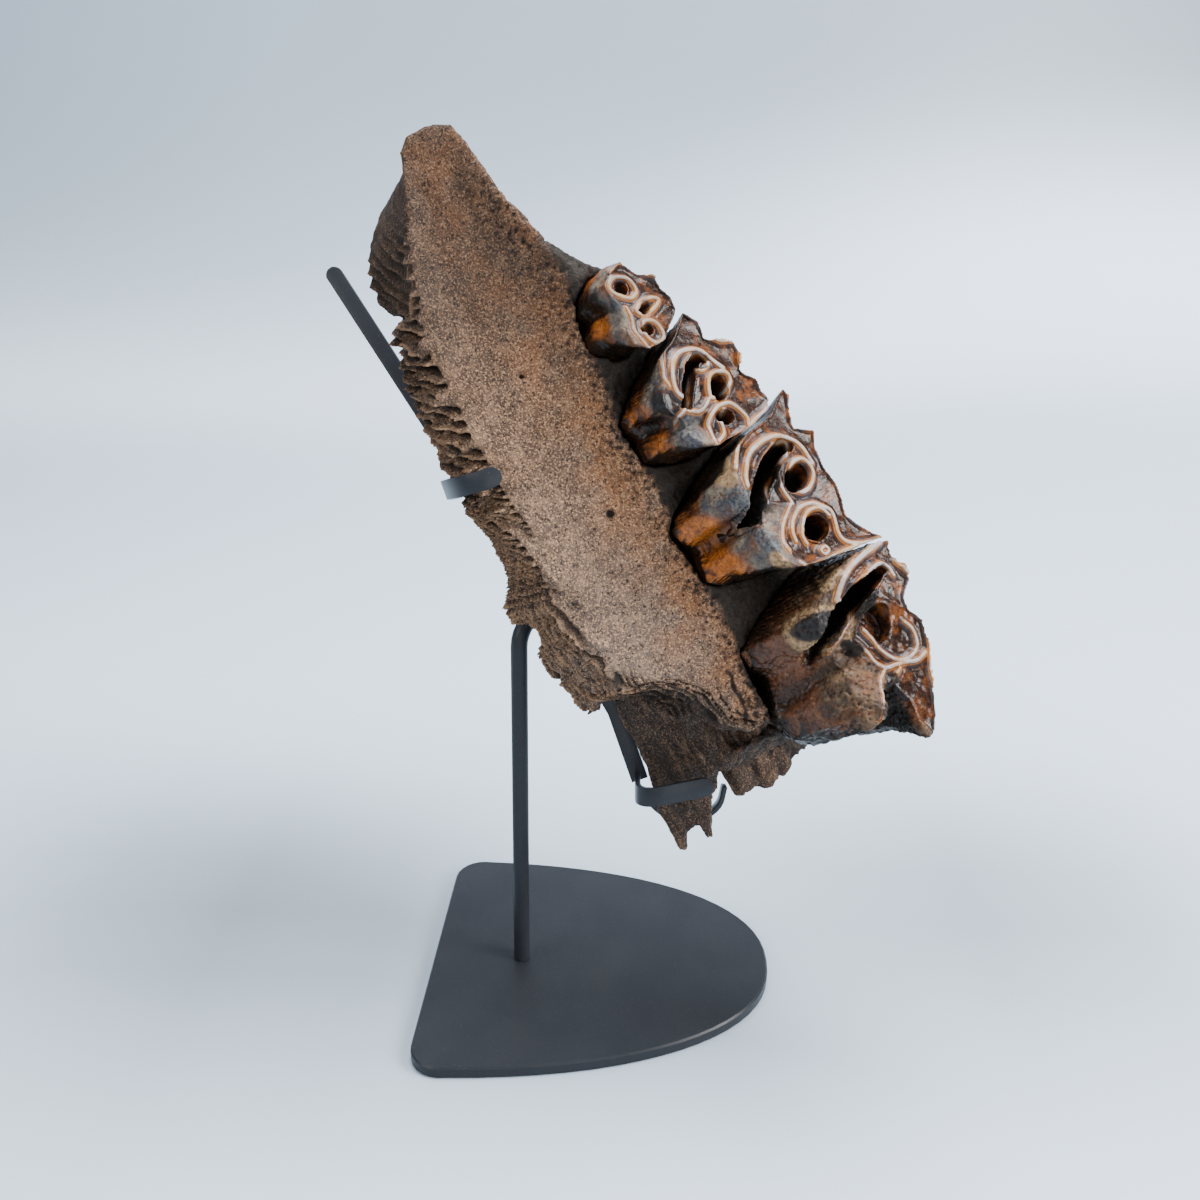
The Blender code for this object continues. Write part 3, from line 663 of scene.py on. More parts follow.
def new_material(name: str) -> tuple[bpy.types.Material, NodeSheet, bpy.types.Node]:
    """Makes an empty material with its main shader.

    Args:
        name: the material's name.

    Returns:
        The material, its sheet and its shader.
    """
    material = bpy.data.materials.new(name)
    material.use_nodes = True
    sheet = NodeSheet(material.node_tree)
    return material, sheet, material.node_tree.nodes["Principled BSDF"]


class Layers:
    """A colour that further colours are laid over."""

    def __init__(self, sheet: NodeSheet, share: object, first: object, second: object) -> None:
        """Starts with two colours mixed by a share.

        Args:
            sheet: the material's sheet.
            share: 0 gives the first, 1 the second.
            first: a colour or a socket.
            second: a colour or a socket.
        """
        self.sheet = sheet
        self.colour = sheet.mix(share, first, second)

    def lay(self, mask: object, colour: object, strength: float = 1.0, blend: str = "MIX") -> None:
        """Lays a colour over the others.

        Args:
            mask: where it goes.
            colour: a colour or a socket.
            strength: how much of it goes there.
            blend: the way of mixing.
        """
        share = mask if strength == 1.0 else self.sheet.times(mask, strength)
        self.colour = self.sheet.mix(share, self.colour, colour, blend)


@dataclass(frozen=True)
class SteelFinish:
    """Satin black paint on steel, a little dusty."""

    name: str = "satin_black_steel"
    paint: Colour = (0.0150, 0.0166, 0.0205)
    worn: Colour = (0.0175, 0.0190, 0.0232)
    dust: Colour = (0.12, 0.12, 0.12)
    roughness: float = 0.34
    specular: float = 0.13

    def build(self) -> bpy.types.Material:
        """Makes the material.

        Returns:
            The material.
        """
        material, sheet, shader = new_material(self.name)
        place = sheet.place()
        clouds = sheet.noise(place, 45.0, 3.0, 0.6)
        layers = Layers(sheet, sheet.spread(clouds, 0.35, 0.75), self.paint, self.worn)
        layers.lay(sheet.spread(sheet.noise(place, 2600.0, 1.0, 0.5), 0.70, 0.78), self.dust, 0.35)
        sheet.join(layers.colour, shader.inputs["Base Color"])
        sheet.join(sheet.spread(clouds, 0.2, 0.8, self.roughness - 0.05, self.roughness + 0.09),
                   shader.inputs["Roughness"])
        shader.inputs["Specular IOR Level"].default_value = self.specular
        sheet.join(sheet.bump(sheet.noise(place, 1500.0, 2.0, 0.5), 0.02, 0.5), shader.inputs["Normal"])
        return material


@dataclass(frozen=True)
class BoneFinish:
    """Granular brown fossil bone, orange and porous by the teeth, with painted highlights on the leaf edges and
    painted shade in the gaps, grooves and holes.
    """

    name: str = "fossil_bone"
    dark: Colour = (0.010, 0.006, 0.004)
    crevice_shade: Colour = (0.009, 0.006, 0.004)
    brown: Colour = (0.074, 0.040, 0.024)
    tan: Colour = (0.400, 0.235, 0.130)
    orange: Colour = (0.170, 0.078, 0.032)
    rust: Colour = (0.160, 0.065, 0.025)
    fibre: Colour = (0.036, 0.021, 0.014)
    pale: Colour = (0.108, 0.072, 0.052)
    ashen: Colour = (0.112, 0.084, 0.070)
    mottled: Colour = (0.45, 0.42, 0.40)
    dimmed: Colour = (0.30, 0.28, 0.27)
    grains_per_m: float = 1650.0
    pores_per_m: float = 760.0
    roughness: float = 0.64
    specular: float = 0.20

    def build(self) -> bpy.types.Material:
        """Makes the material.

        Returns:
            The material.
        """
        material, sheet, shader = new_material(self.name)
        place = sheet.place()
        grain = grain_node(sheet, place, self.grains_per_m)
        coarse = grain_node(sheet, place, self.pores_per_m)
        clouds, mottle = sheet.noise(place, 38.0, 3.0, 0.55), sheet.noise(place, 260.0, 2.0, 0.6)
        relief, porous = sheet.painted("relief"), sheet.painted("porous")
        light, dark = grain.outputs["Light"], grain.outputs["Dark"]
        layers = Layers(sheet, sheet.spread(clouds, 0.30, 0.72), self.brown, self.pale)
        layers.lay(sheet.painted("grey"), self.ashen, 0.8)
        by_teeth = sheet.times(porous, sheet.spread(sheet.noise(place, 130.0, 2.0), 0.35, 0.65))
        layers.lay(by_teeth, self.orange, 0.65)
        layers.lay(sheet.spread(mottle, 0.56, 0.40, 0.0, 0.40), self.mottled, blend="MULTIPLY")
        layers.lay(sheet.spread(mottle, 0.50, 0.66, 0.0, 0.20), self.tan)
        rusty = sheet.times(sheet.painted("warm"), sheet.spread(sheet.noise(place, 75.0, 3.0), 0.40, 0.62))
        layers.lay(rusty, self.rust, 0.9)
        layers.lay(sheet.painted("fibrous"), self.fibre, 0.65)
        layers.lay(light, self.tan, 0.75)
        layers.lay(dark, self.dark, 0.85)
        layers.lay(sheet.times(coarse.outputs["Dark"], sheet.spread(porous, 0.0, 1.0, 0.15, 0.75)), self.dark)
        # Darkening attribute: darker towards the top of the jaw and on the crest, spike and tuber, with painted
        # shade along the gum line.
        layers.lay(sheet.painted("dim"), self.dimmed, blend="MULTIPLY")
        # Painted highlight: tan on the raised leaf edges and ridges.
        layers.lay(sheet.spread(relief, 0.55, 1.0, 0.0, 0.45), self.tan)
        # Painted shade: near black in the gaps, grooves, holes, pores and along the gum line, with darker
        # streaks on the crest.
        layers.lay(sheet.spread(relief, 0.46, 0.12, 0.0, 0.97), self.crevice_shade)
        sheet.join(layers.colour, shader.inputs["Base Color"])
        sheet.join(sheet.spread(light, 0.0, 1.0, self.roughness + 0.08, self.roughness - 0.10),
                   shader.inputs["Roughness"])
        shader.inputs["Specular IOR Level"].default_value = self.specular
        small = sheet.bump(grain.outputs["Height"], 0.30, 0.8)
        sheet.join(sheet.bump(coarse.outputs["Height"], 0.55, 0.5, small), shader.inputs["Normal"])
        return material


@dataclass(frozen=True)
class ToothFinish:
    """A fossil tooth: pale enamel, dark glossy dentine, grey cement and an orange-brown neck."""

    name: str
    neck: Colour = (0.300, 0.088, 0.014)
    neck_dark: Colour = (0.040, 0.012, 0.005)
    cement: Colour = (0.140, 0.112, 0.082)
    cement_grey: Colour = (0.028, 0.032, 0.038)
    dentine: Colour = (0.015, 0.006, 0.0035)
    dentine_warm: Colour = (0.125, 0.036, 0.007)
    enamel: Colour = (0.260, 0.228, 0.222)
    enamel_cream: Colour = (0.260, 0.165, 0.085)
    amber: Colour = (0.260, 0.095, 0.022)
    lilac: Colour = (0.034, 0.029, 0.035)
    slate: Colour = (0.020, 0.023, 0.028)
    slate_pale: Colour = (0.085, 0.090, 0.096)
    facet: Colour = (0.006, 0.005, 0.005)
    facet_pale: Colour = (0.020, 0.017, 0.016)
    speck: Colour = (0.012, 0.007, 0.005)
    mottled: Colour = (0.38, 0.34, 0.32)
    # Near black, for painted shade in pits and notches.
    pit_shade_colour: Colour = (0.004, 0.003, 0.002)
    gritty: float = 0.4
    specular: float = 0.17

    def build(self) -> bpy.types.Material:
        """Makes the material.

        Returns:
            The material.
        """
        material, sheet, shader = new_material(self.name)
        place = sheet.place()
        grain = grain_node(sheet, place, 1500.0)
        clouds = sheet.noise(place, 110.0, 3.0, 0.6)
        patches = sheet.noise(place, 210.0, 3.0, 0.62)
        fine = sheet.noise(place, 900.0, 3.0, 0.6)
        worn, ridge, neck, deep, facet, cream, grey = (sheet.painted(region.value) for region in Region)
        layers = Layers(sheet, sheet.spread(patches, 0.38, 0.62), self.cement_grey, self.cement)
        layers.lay(sheet.spread(clouds, 0.50, 0.66), self.dentine_warm, 0.60)
        layers.lay(neck, sheet.mix(sheet.spread(clouds, 0.36, 0.62), self.neck_dark, self.neck))
        layers.lay(worn, sheet.mix(sheet.spread(patches, 0.48, 0.70), self.dentine, self.dentine_warm))
        layers.lay(grey, sheet.mix(sheet.spread(fine, 0.35, 0.65), self.slate, self.slate_pale), 0.75)
        layers.lay(sheet.times(cream, sheet.spread(patches, 0.30, 0.50, 0.45, 0.95)), self.enamel_cream)
        layers.lay(facet, sheet.mix(sheet.spread(patches, 0.3, 0.7), self.facet, self.facet_pale))
        layers.lay(grain.outputs["Dark"], self.speck, self.gritty)
        layers.lay(sheet.spread(fine, 0.54, 0.40, 0.0, 0.55), self.mottled, blend="MULTIPLY")
        layers.lay(sheet.cracks(place, 150.0), self.neck_dark, 0.8)
        bluish = sheet.times(sheet.spread(ridge, 0.95, 0.60), sheet.spread(clouds, 0.40, 0.60))
        layers.lay(bluish, self.lilac, 0.7)
        rim = sheet.times(sheet.spread(ridge, 0.50, 0.30), sheet.spread(patches, 0.32, 0.52, 0.25, 1.0))
        layers.lay(rim, self.amber, 0.9)
        line = sheet.spread(sheet.calc("ABSOLUTE", sheet.calc("SUBTRACT", ridge, 0.22)), 0.07, 0.02)
        layers.lay(line, self.dentine, 0.6)
        wavy = sheet.calc("ADD", ridge, sheet.spread(fine, 0.3, 0.7, -0.04, 0.04))
        band = sheet.spread(wavy, 0.18, 0.08)
        layers.lay(band, sheet.mix(sheet.spread(patches, 0.42, 0.62), self.enamel, self.enamel_cream), 0.95)
        # Painted shade: near black in the pits, grooves and notches.
        layers.lay(deep, self.pit_shade_colour)
        sheet.join(layers.colour, shader.inputs["Base Color"])
        glossy = sheet.calc("MAXIMUM", sheet.calc("MAXIMUM", worn, neck), band)
        gloss = sheet.calc("ADD", sheet.spread(glossy, 0.0, 1.0, 0.48, 0.20),
                           sheet.spread(fine, 0.3, 0.7, -0.05, 0.10))
        sheet.join(gloss, shader.inputs["Roughness"])
        shader.inputs["Specular IOR Level"].default_value = self.specular
        rough = sheet.calc("ADD", fine, sheet.times(grain.outputs["Height"], 0.6))
        sheet.join(sheet.bump(rough, 0.16, 0.6), shader.inputs["Normal"])
        return material


@dataclass(frozen=True)
class BackdropFinish:
    """A pale blue-grey sweep, with a painted fall-off of the light."""

    name: str = "backdrop"
    base: Colour = (0.490, 0.590, 0.700)
    glow: Colour = (0.84, 0.96, 1.10)
    none: Colour = (0.0, 0.0, 0.0)
    glow_strength: float = 2.0
    roughness: float = 0.55

    def build(self) -> bpy.types.Material:
        """Makes the material.

        Returns:
            The material.
        """
        material, sheet, shader = new_material(self.name)
        sheet.join(sheet.mix(sheet.painted("shade"), self.base, self.none), shader.inputs["Base Color"])
        sheet.join(sheet.mix(sheet.painted("glow"), self.none, self.glow), shader.inputs["Emission Color"])
        shader.inputs["Emission Strength"].default_value = self.glow_strength
        material.cycles.emission_sampling = "NONE"
        shader.inputs["Roughness"].default_value = self.roughness
        return material


@dataclass
class Stand:
    """The steel stand: base plate, post, bar, two clips and cradle."""

    nodes: tuple[str, ...] = ("base_plate", "post", "back_bar", "upper_clip", "lower_clip", "cradle")
    edge_mm: float = 0.35
    sharp_degrees: float = 50.0
    crease_degrees: float = 38.0
    unrounded: tuple[str, ...] = ("post", "base_plate")
    finish: SteelFinish = field(default_factory=SteelFinish)

    def build(self) -> list[bpy.types.Object]:
        """Makes softly edged copies of the stand's solids and paints them.

        Returns:
            The pieces.
        """
        paint = self.finish.build()
        return [self.build_piece(node, paint) for node in self.nodes]

    def build_piece(self, node: str, paint: bpy.types.Material) -> bpy.types.Object:
        """Makes one piece.

        Args:
            node: name of its solid.
            paint: its finish.

        Returns:
            The piece, which stands for the solid.
        """
        form = bmesh.new()
        form.from_mesh(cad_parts[node].data)
        bmesh.ops.remove_doubles(form, verts=form.verts[:], dist=1e-6)
        bmesh.ops.dissolve_limit(form, angle_limit=math.radians(1.0), verts=form.verts[:], edges=form.edges[:])
        bend = math.radians(self.sharp_degrees)
        sharp = [e for e in form.edges if len(e.link_faces) == 2 and e.calc_face_angle(0.0) > bend]
        if node not in self.unrounded:
            bmesh.ops.bevel(form, geom=sharp, offset=self.edge_mm * MM, offset_type="OFFSET", segments=2,
                            profile=0.5, affect="EDGES", material=-1, clamp_overlap=True)
        mesh = bpy.data.meshes.new(node + "_painted")
        form.to_mesh(mesh)
        form.free()
        piece = bpy.data.objects.new(node + "_painted", mesh)
        bpy.context.scene.collection.objects.link(piece)
        mesh.materials.append(paint)
        mesh.shade_smooth()
        mesh.set_sharp_from_angle(angle=math.radians(self.crease_degrees))
        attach(piece, "root")
        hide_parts(node)
        LOG.info("%s: %d faces", piece.name, len(mesh.polygons))
        return piece


@dataclass
class Maxilla:
    """The bone: palate, broken suture with its leaves, porous gum, fibrous spike and tuber."""

    voxel_mm: float = 0.85
    smoothing: int = 3
    most_triangles: int = 192000
    palate_edge: tuple[tuple[float, float], ...] = (
        (-113.0, 0.5), (-110.0, -3.0), (-103.0, -7.0), (-94.0, -11.8), (-82.0, -17.6), (-68.0, -21.6),
        (-57.0, -24.2), (-48.0, -25.0), (-30.0, -26.4), (-10.0, -26.4), (12.0, -24.2), (32.0, -24.0),
        (50.0, -25.0), (59.0, -24.0), (63.5, -14.0), (72.0, -5.6), (83.0, -2.6), (89.0, 4.0))
    gum_edge: tuple[tuple[float, float], ...] = (
        (-113.0, 9.0), (-103.0, 16.4), (-82.0, 17.0), (-68.0, 20.4), (-57.0, 24.0), (-48.0, 21.6),
        (-30.0, 19.0), (-10.0, 14.2), (12.0, 16.4), (32.0, 13.2), (50.0, 15.0), (63.5, 12.8), (89.0, 10.6))
    finish: BoneFinish = field(default_factory=BoneFinish)

    def edge_at(self, a: np.ndarray) -> np.ndarray:
        """The palate's suture edge b at each a."""
        known = np.array(self.palate_edge)
        return np.interp(a, known[:, 0], known[:, 1])

    def gum_at(self, a: np.ndarray) -> np.ndarray:
        """The gum line's b at each a."""
        known = np.array(self.gum_edge)
        return np.interp(a, known[:, 0], known[:, 1])

    def suture_share(self, local: np.ndarray) -> np.ndarray:
        """How surely each point is on the broken suture face.

        Args:
            local: points in the jaw's frame.

        Returns:
            0 to 1 for each point.
        """
        a, b, c = local.T
        plane_b = self.edge_at(a) + math.tan(SUTURE_LEAN) * c
        near = smooth_step(11.0, 7.0, b - plane_b)
        deep = smooth_step(0.2, -0.8, c)
        return near * deep * smooth_step(-104.0, -74.0, a) * smooth_step(68.0, 58.0, a)

    def build(self) -> bpy.types.Object:
        """Sculpts, paints and dresses the bone.

        Returns:
            The piece.
        """
        sculpt = Sculpt("maxilla", "maxilla_bone", self.voxel_mm, self.smoothing)
        sculpt.refine(lambda points: self.suture_share(JAW.to_local(points)) > 0.05)
        world = sculpt.points()
        local = JAW.to_local(world)
        normals = sculpt.normals()
        facing = normals @ JAW.axes[2]
        a, b, c = local.T
        away = JAW.way_to_world(np.array((0.0, -math.cos(SUTURE_LEAN), math.sin(SUTURE_LEAN))))
        suture = self.suture_share(local) * smooth_step(0.15, 0.55, -(normals @ JAW.axes[1]))
        past_edge = b - self.edge_at(a)
        depth = -(past_edge * math.sin(SUTURE_LEAN) + c * math.cos(SUTURE_LEAN))
        gum = self.gum_at(a)
        lumps = 0.45 * soft_noise(world, 9.0, 3, 2) + 0.16 * soft_noise(world, 2.2, 5, 2)
        leaves, leaf_shading = self.leaf_relief(a, depth, world)
        fibrous = smooth_step(56.0, 66.0, a) * smooth_step(-3.5, -6.5, c)
        fluted = smooth_step(86.0, 96.0, a) * smooth_step(-30.0, -38.0, c)
        stringy = (fibrous + fluted).clip(0.0, 1.0)
        grooves = self.groove_relief(a, b, c)
        torn = smooth_step(9.0, 1.0, past_edge) * smooth_step(48.0, 60.0, a) * smooth_step(-11.0, -7.0, c)
        torn = torn * smooth_step(0.2, 0.5, facing)
        steps = (past_edge + 0.25 * a + 1.6 * soft_noise(world, 6.0, 67, 2)) / 2.6
        steps = steps - np.floor(steps)
        porous = smooth_step(17.0, 3.0, gum - b) * smooth_step(0.2, 0.6, facing) * smooth_step(-118.0, -70.0, a)
        porous = np.clip(porous + 0.7 * smooth_step(0.25, -0.1, facing) * smooth_step(8.0, 16.0, b), 0.0, 1.0)
        pores = smooth_step(0.52, 0.18, pore_pattern(world, 2.1, 11))
        holes = self.small_holes(local)
        crack = self.palate_crack(local)
        back = smooth_step(0.1, -0.3, facing)
        shift = lumps - 0.85 * pores * porous * (1.0 - suture) - 1.6 * holes - 0.9 * crack
        shift = shift - torn * (1.0 - steps) * 2.4
        shift = shift + back * 0.5 * soft_noise(world, 4.0, 21, 2)
        shift = shift * (1.0 - 0.6 * suture) + stringy * (1.0 - suture) * grooves
        moved = normals * shift[:, None]
        moved += away * (suture * leaves)[:, None]
        sculpt.move(moved)
        # Painted light and shade on the bone: light on the leaf edges, dark in the gaps between the leaves.
        relief_shading = np.where(suture > 0.05, 0.5 + (leaf_shading - 0.5) * suture, 0.5)
        # Painted light on the ridges and painted shade in the grooves of the spike and tuber.
        relief_shading = relief_shading + stringy * (1.0 - suture) * (np.clip(grooves, -1.0, 1.0) * 0.22 - 0.05)
        # Painted shade at the foot of each torn step.
        relief_shading = relief_shading - 0.75 * torn * smooth_step(0.30, 0.12, steps)
        # Painted shade in the nerve holes, the crack and the pores.
        relief_shading = relief_shading - 0.6 * holes - 0.5 * crack - 0.42 * pores * porous
        # Painted shade along the gum line and between the tooth bases.
        gum_shade = smooth_step(4.5, -0.5, gum - b + soft_noise(world, 5.0, 61, 2)) * smooth_step(-72.0, -62.0, a)
        crest = smooth_step(-6.0, -12.0, c) * smooth_step(-30.0, -50.0, a)
        streaks = soft_noise(np.stack([a / 8.0, b, c], axis=1), 2.5, 63, 2)
        relief_shading = relief_shading - 0.42 * gum_shade - 0.12 * crest * (1.0 + streaks)
        # Darker towards the top of the jaw and on the crest, spike, tuber and suture face; the gum term adds
        # painted shade along the gum line.
        dim = 0.14 + 0.74 * smooth_step(-20.0, -78.0, a) + 0.45 * crest + 0.9 * stringy
        dim = dim + 0.35 * suture + 0.8 * gum_shade + 0.15 * soft_noise(world, 22.0, 65, 3)
        sculpt.paint("dim", np.clip(dim, 0.0, 1.0))
        # The relief attribute holds painted highlights and painted shade, with the darker streaks on the crest.
        sculpt.paint("relief", np.clip(relief_shading, 0.0, 1.0))
        sculpt.paint("porous", porous)
        sculpt.paint("warm", smooth_step(-16.0, 6.0, b) * smooth_step(0.3, 0.6, facing))
        sculpt.paint("grey", smooth_step(-20.0, 60.0, a) * smooth_step(0.3, 0.7, facing))
        sculpt.paint("fibrous", np.clip(fibrous + fluted + 0.15 * back, 0.0, 1.0))
        sculpt.thin(self.most_triangles)
        return sculpt.finish(self.finish.build(), "fossil_bone")

    def leaf_relief(self, a: np.ndarray, depth: np.ndarray, world: np.ndarray) -> tuple[np.ndarray, np.ndarray]:
        """Leaves slanting over the upper suture and long ledges along the lower one.

        Args:
            a: place along the jaw.
            depth: depth behind the palate's edge.
            world: the points, for the irregularity.

        Returns:
            How far each point stands out, and its painted light and shade: light on the leaf edges, dark in the
            gaps between the leaves.
        """
        wander = soft_noise(world, 8.0, 31, 2) * 1.5
        fans = (a + 0.9 * depth + wander) / 4.3
        slants = (a + 1.1 * depth + wander) / 2.7
        ledges = (depth + 0.16 * a + 1.3 * wander) / 2.6
        first = smooth_step(-10.0, -20.0, a)
        last = smooth_step(14.0, 26.0, a)
        shapes = [leaf_profile(fans, 0.8), leaf_profile(slants, 0.7), leaf_profile(ledges, 0.8)]
        weights = [first, (1.0 - first) * (1.0 - last), last]
        height = sum(shape * weight for shape, weight in zip(shapes, weights))
        ragged = 0.5 + 0.5 * soft_noise(world, 5.0, 37, 2)
        out = (height - 0.66) * (4.2 + 3.4 * ragged)
        # The second value is painted highlight on the leaf edges and painted shade in the gaps.
        return out, np.clip(1.15 * height**2.2 * (0.70 + 0.40 * ragged) - 0.06, 0.0, 1.0)

    def groove_relief(self, a: np.ndarray, b: np.ndarray, c: np.ndarray) -> np.ndarray:
        """Lengthwise grooves of the spike and the tuber, in millimetres.

        Args:
            a: place along the jaw.
            b: place towards the teeth.
            c: place out of the palate.

        Returns:
            The height of each point.
        """
        stretched = np.stack([a / 9.0, b, c], axis=1)
        fine = np.stack([a / 16.0, b, c], axis=1)
        return 0.9 * soft_noise(stretched, 2.6, 41, 2) + 0.6 * soft_noise(fine, 1.1, 43, 2)

    def small_holes(self, local: np.ndarray) -> np.ndarray:
        """Two small nerve holes in the palate, 1 inside them.

        Args:
            local: points in the jaw's frame.

        Returns:
            0 to 1 for each point.
        """
        total = np.zeros(len(local))
        for a, b, radius in ((10.2, -2.0, 1.3), (-38.0, -4.5, 0.7)):
            away = np.hypot(local[:, 0] - a, local[:, 1] - b)
            total += smooth_step(radius * 1.4, radius * 0.5, away) * (local[:, 2] > -9.0)
        return total

    def palate_crack(self, local: np.ndarray) -> np.ndarray:
        """A thin crack in the lower palate, 1 inside it."""
        away = distance_to_path(local[:, :2], ((70.0, 5.6), (75.0, 4.0), (80.0, 4.6), (86.0, 2.0)))
        return smooth_step(0.8, 0.2, away) * (local[:, 2] > -6.0)


@dataclass
class Tooth:
    """One cheek tooth, with its enamel lines traced over the chewing surface in the row's frame."""

    node: str
    height: float
    lines: tuple[tuple[float, tuple[Point2, ...]], ...]
    worn: tuple[Point2, ...]
    patches: tuple[tuple[Region, float, float, float, float, float], ...] = ()
    grooves: tuple[tuple[float, float, tuple[Point2, ...]], ...] = ()
    finish: ToothFinish = ToothFinish("fossil_tooth")
    voxel_mm: float = 0.42
    smoothing: int = 9
    roughness: float = 0.12

    def seen_place(self, local: np.ndarray) -> np.ndarray:
        """Slides each point of the row's frame to the plane that the enamel lines were traced in.

        Args:
            local: points in the row's frame.

        Returns:
            Rows of u and v.
        """
        u, v, w = local.T
        lean = 0.114 - 0.0043 * u
        return np.stack([u - lean * (w + 1.0), v + 1.03 * (w + 1.0)], axis=1)

    def patch(self, seen: np.ndarray, region: Region) -> np.ndarray:
        """Soft oval patches of one region.

        Args:
            seen: rows of u and v.
            region: which patches are meant.

        Returns:
            0 to 1 for each point.
        """
        total = np.zeros(len(seen))
        for kind, u, v, length, width, turn in self.patches:
            if kind is not region:
                continue
            away = seen - np.array((u, v))
            cos, sin = math.cos(math.radians(turn)), math.sin(math.radians(turn))
            along = (away[:, 0] * cos + away[:, 1] * sin) / length
            across = (-away[:, 0] * sin + away[:, 1] * cos) / width
            total = np.maximum(total, smooth_step(1.12, 0.85, np.hypot(along, across)))
        return total

    def pit_depth(self, local: np.ndarray) -> np.ndarray:
        """How far each point lies below the rims on both sides of it.

        Args:
            local: points in the row's frame.

        Returns:
            One depth for each point, 0 on the crown's outer walls.
        """
        cell, reach = 0.8, 12
        low = local[:, :2].min(axis=0) - cell * (reach + 1)
        cells = np.floor((local[:, :2] - low) / cell).astype(int)
        shape = cells.max(axis=0) + reach + 2
        top = np.full(shape, -99.0)
        np.maximum.at(top, (cells[:, 0], cells[:, 1]), local[:, 2])
        rims = []
        for way in ((1, 0), (0, 1), (1, 1), (1, -1)):
            sides = []
            for sign in (1, -1):
                best = top.copy()
                for step in range(1, reach + 1):
                    best = np.maximum(best, np.roll(top, (sign * step * way[0], sign * step * way[1]), (0, 1)))
                sides.append(best)
            rims.append(np.minimum(*sides))
        rim = np.sort(np.stack(rims), axis=0)[1]
        return rim[cells[:, 0], cells[:, 1]] - local[:, 2]

    def build(self) -> bpy.types.Object:
        """Sculpts, paints and dresses the tooth.

        Returns:
            The piece.
        """
        sculpt = Sculpt(self.node, self.node + "_crown", self.voxel_mm, self.smoothing)
        world = sculpt.points()
        local = ROW.to_local(world)
        normals = sculpt.normals()
        facing = normals @ ROW.axes[2]
        seen = self.seen_place(local)
        u, v, w = local.T
        shown = smooth_step(-0.05, 0.2, normals @ FRONT)
        on_top = smooth_step(0.25, 0.6, facing) * smooth_step(-0.55 * self.height, -0.35 * self.height, w)
        ridge = np.full(len(world), 9.0)
        for half_width, path in self.lines:
            away = distance_to_path(seen, curved(path))
            ridge = np.minimum(ridge, np.maximum(0.0, away - 0.5 * half_width))
        in_worn = inside_outline(seen, self.worn)
        edge = distance_to_path(seen, [*self.worn, self.worn[0]])
        worn = smooth_step(-0.6, 0.6, np.where(in_worn, edge, -edge))
        upper = smooth_step(-0.45 * self.height, -0.25 * self.height, w)
        crest = smooth_step(0.55, 0.0, ridge) * upper
        hollow = worn * on_top * smooth_step(0.2, 2.2, ridge)
        lumps = self.roughness * soft_noise(world, 1.3, 51, 2) + 0.55 * soft_noise(world, 6.0, 53, 2)
        grit = smooth_step(0.5, 0.2, pore_pattern(world, 1.3, 55)) * (1.0 - worn)
        grit = grit * smooth_step(0.6, 0.4, -w / self.height)
        shift = lumps * (1.0 - 0.5 * worn) - 2.0 * self.roughness * grit
        shift = shift + 0.5 * crest * on_top - 0.9 * hollow
        groove = np.zeros(len(world))
        for depth, width, path in self.grooves:
            away = distance_to_path(seen, path) / width
            groove = np.maximum(groove, depth * np.exp(-away * away) * shown)
        shift = shift - groove
        sculpt.move(normals * shift[:, None])
        sculpt.paint(Region.RIDGE.value, np.where(upper > 0.05, np.clip(ridge / 2.0, 0.0, 1.0), 1.0))
        sculpt.paint(Region.WORN.value, worn * upper)
        drop = -w / self.height + 0.10 * soft_noise(world, 6.0, 57, 2)
        sculpt.paint(Region.NECK.value, smooth_step(0.42, 0.62, drop))
        # Painted shade: near black where a point lies below the rims around it, in the grooves and in the
        # listed dark notches.
        pit_shade = smooth_step(2.0, 6.0, self.pit_depth(local))
        pit_shade = np.maximum(pit_shade, 0.5 * smooth_step(0.9, 2.2, groove))
        pit_shade = np.maximum(pit_shade, self.patch(seen, Region.DEEP) * shown)
        sculpt.paint(Region.DEEP.value, np.clip(pit_shade, 0.0, 0.95))
        for region in (Region.FACET, Region.CREAM, Region.GREY):
            sculpt.paint(region.value, self.patch(seen, region) * shown)
        return sculpt.finish(self.finish.build(), "fossil_tooth")


PREMOLAR_3 = Tooth(
    "premolar_3", 14.0,
    (
        (0.35, ((-38.4, 17.3), (-35.2, 16.8), (-32.4, 15.3), (-30.5, 15.0), (-27.6, 15.5), (-25.0, 16.2),
                (-24.4, 20.1), (-23.5, 24.1))),
        (0.5, ((-47.8, 20.5), (-45.8, 24.3), (-41.9, 24.5), (-40.3, 21.4), (-41.9, 18.1), (-44.6, 16.2),
               (-46.7, 17.1), (-47.8, 20.5))),
        (0.45, ((-36.2, 19.7), (-37.8, 22.7), (-38.1, 27.4), (-36.6, 29.6), (-35.0, 26.5), (-34.6, 22.2),
                (-36.2, 19.7))),
        (0.45, ((-32.7, 19.8), (-32.1, 23.1), (-29.6, 24.4), (-26.5, 23.6), (-25.3, 20.4), (-27.2, 18.1),
                (-30.0, 17.9), (-32.7, 19.8))),
        (0.3, ((-50.5, 19.8), (-51.5, 25.7), (-46.8, 30.3), (-43.4, 34.0), (-39.7, 35.4), (-36.2, 35.5),
               (-32.8, 36.1))),
        (0.2, ((-32.8, 36.1), (-28.5, 32.8), (-26.0, 28.4), (-23.7, 24.6))),
    ),
    ((-50.5, 19.8), (-51.5, 25.7), (-46.8, 30.3), (-43.4, 34.0), (-36.2, 35.5), (-32.8, 36.1), (-26.0, 28.4),
     (-23.5, 24.1), (-24.4, 20.1), (-25.0, 16.2), (-30.5, 15.0), (-35.2, 16.8), (-38.4, 17.3), (-43.0, 15.5),
     (-48.0, 17.0)),
    finish=ToothFinish("premolar_3_ivory", enamel=(0.17, 0.145, 0.135)),
)

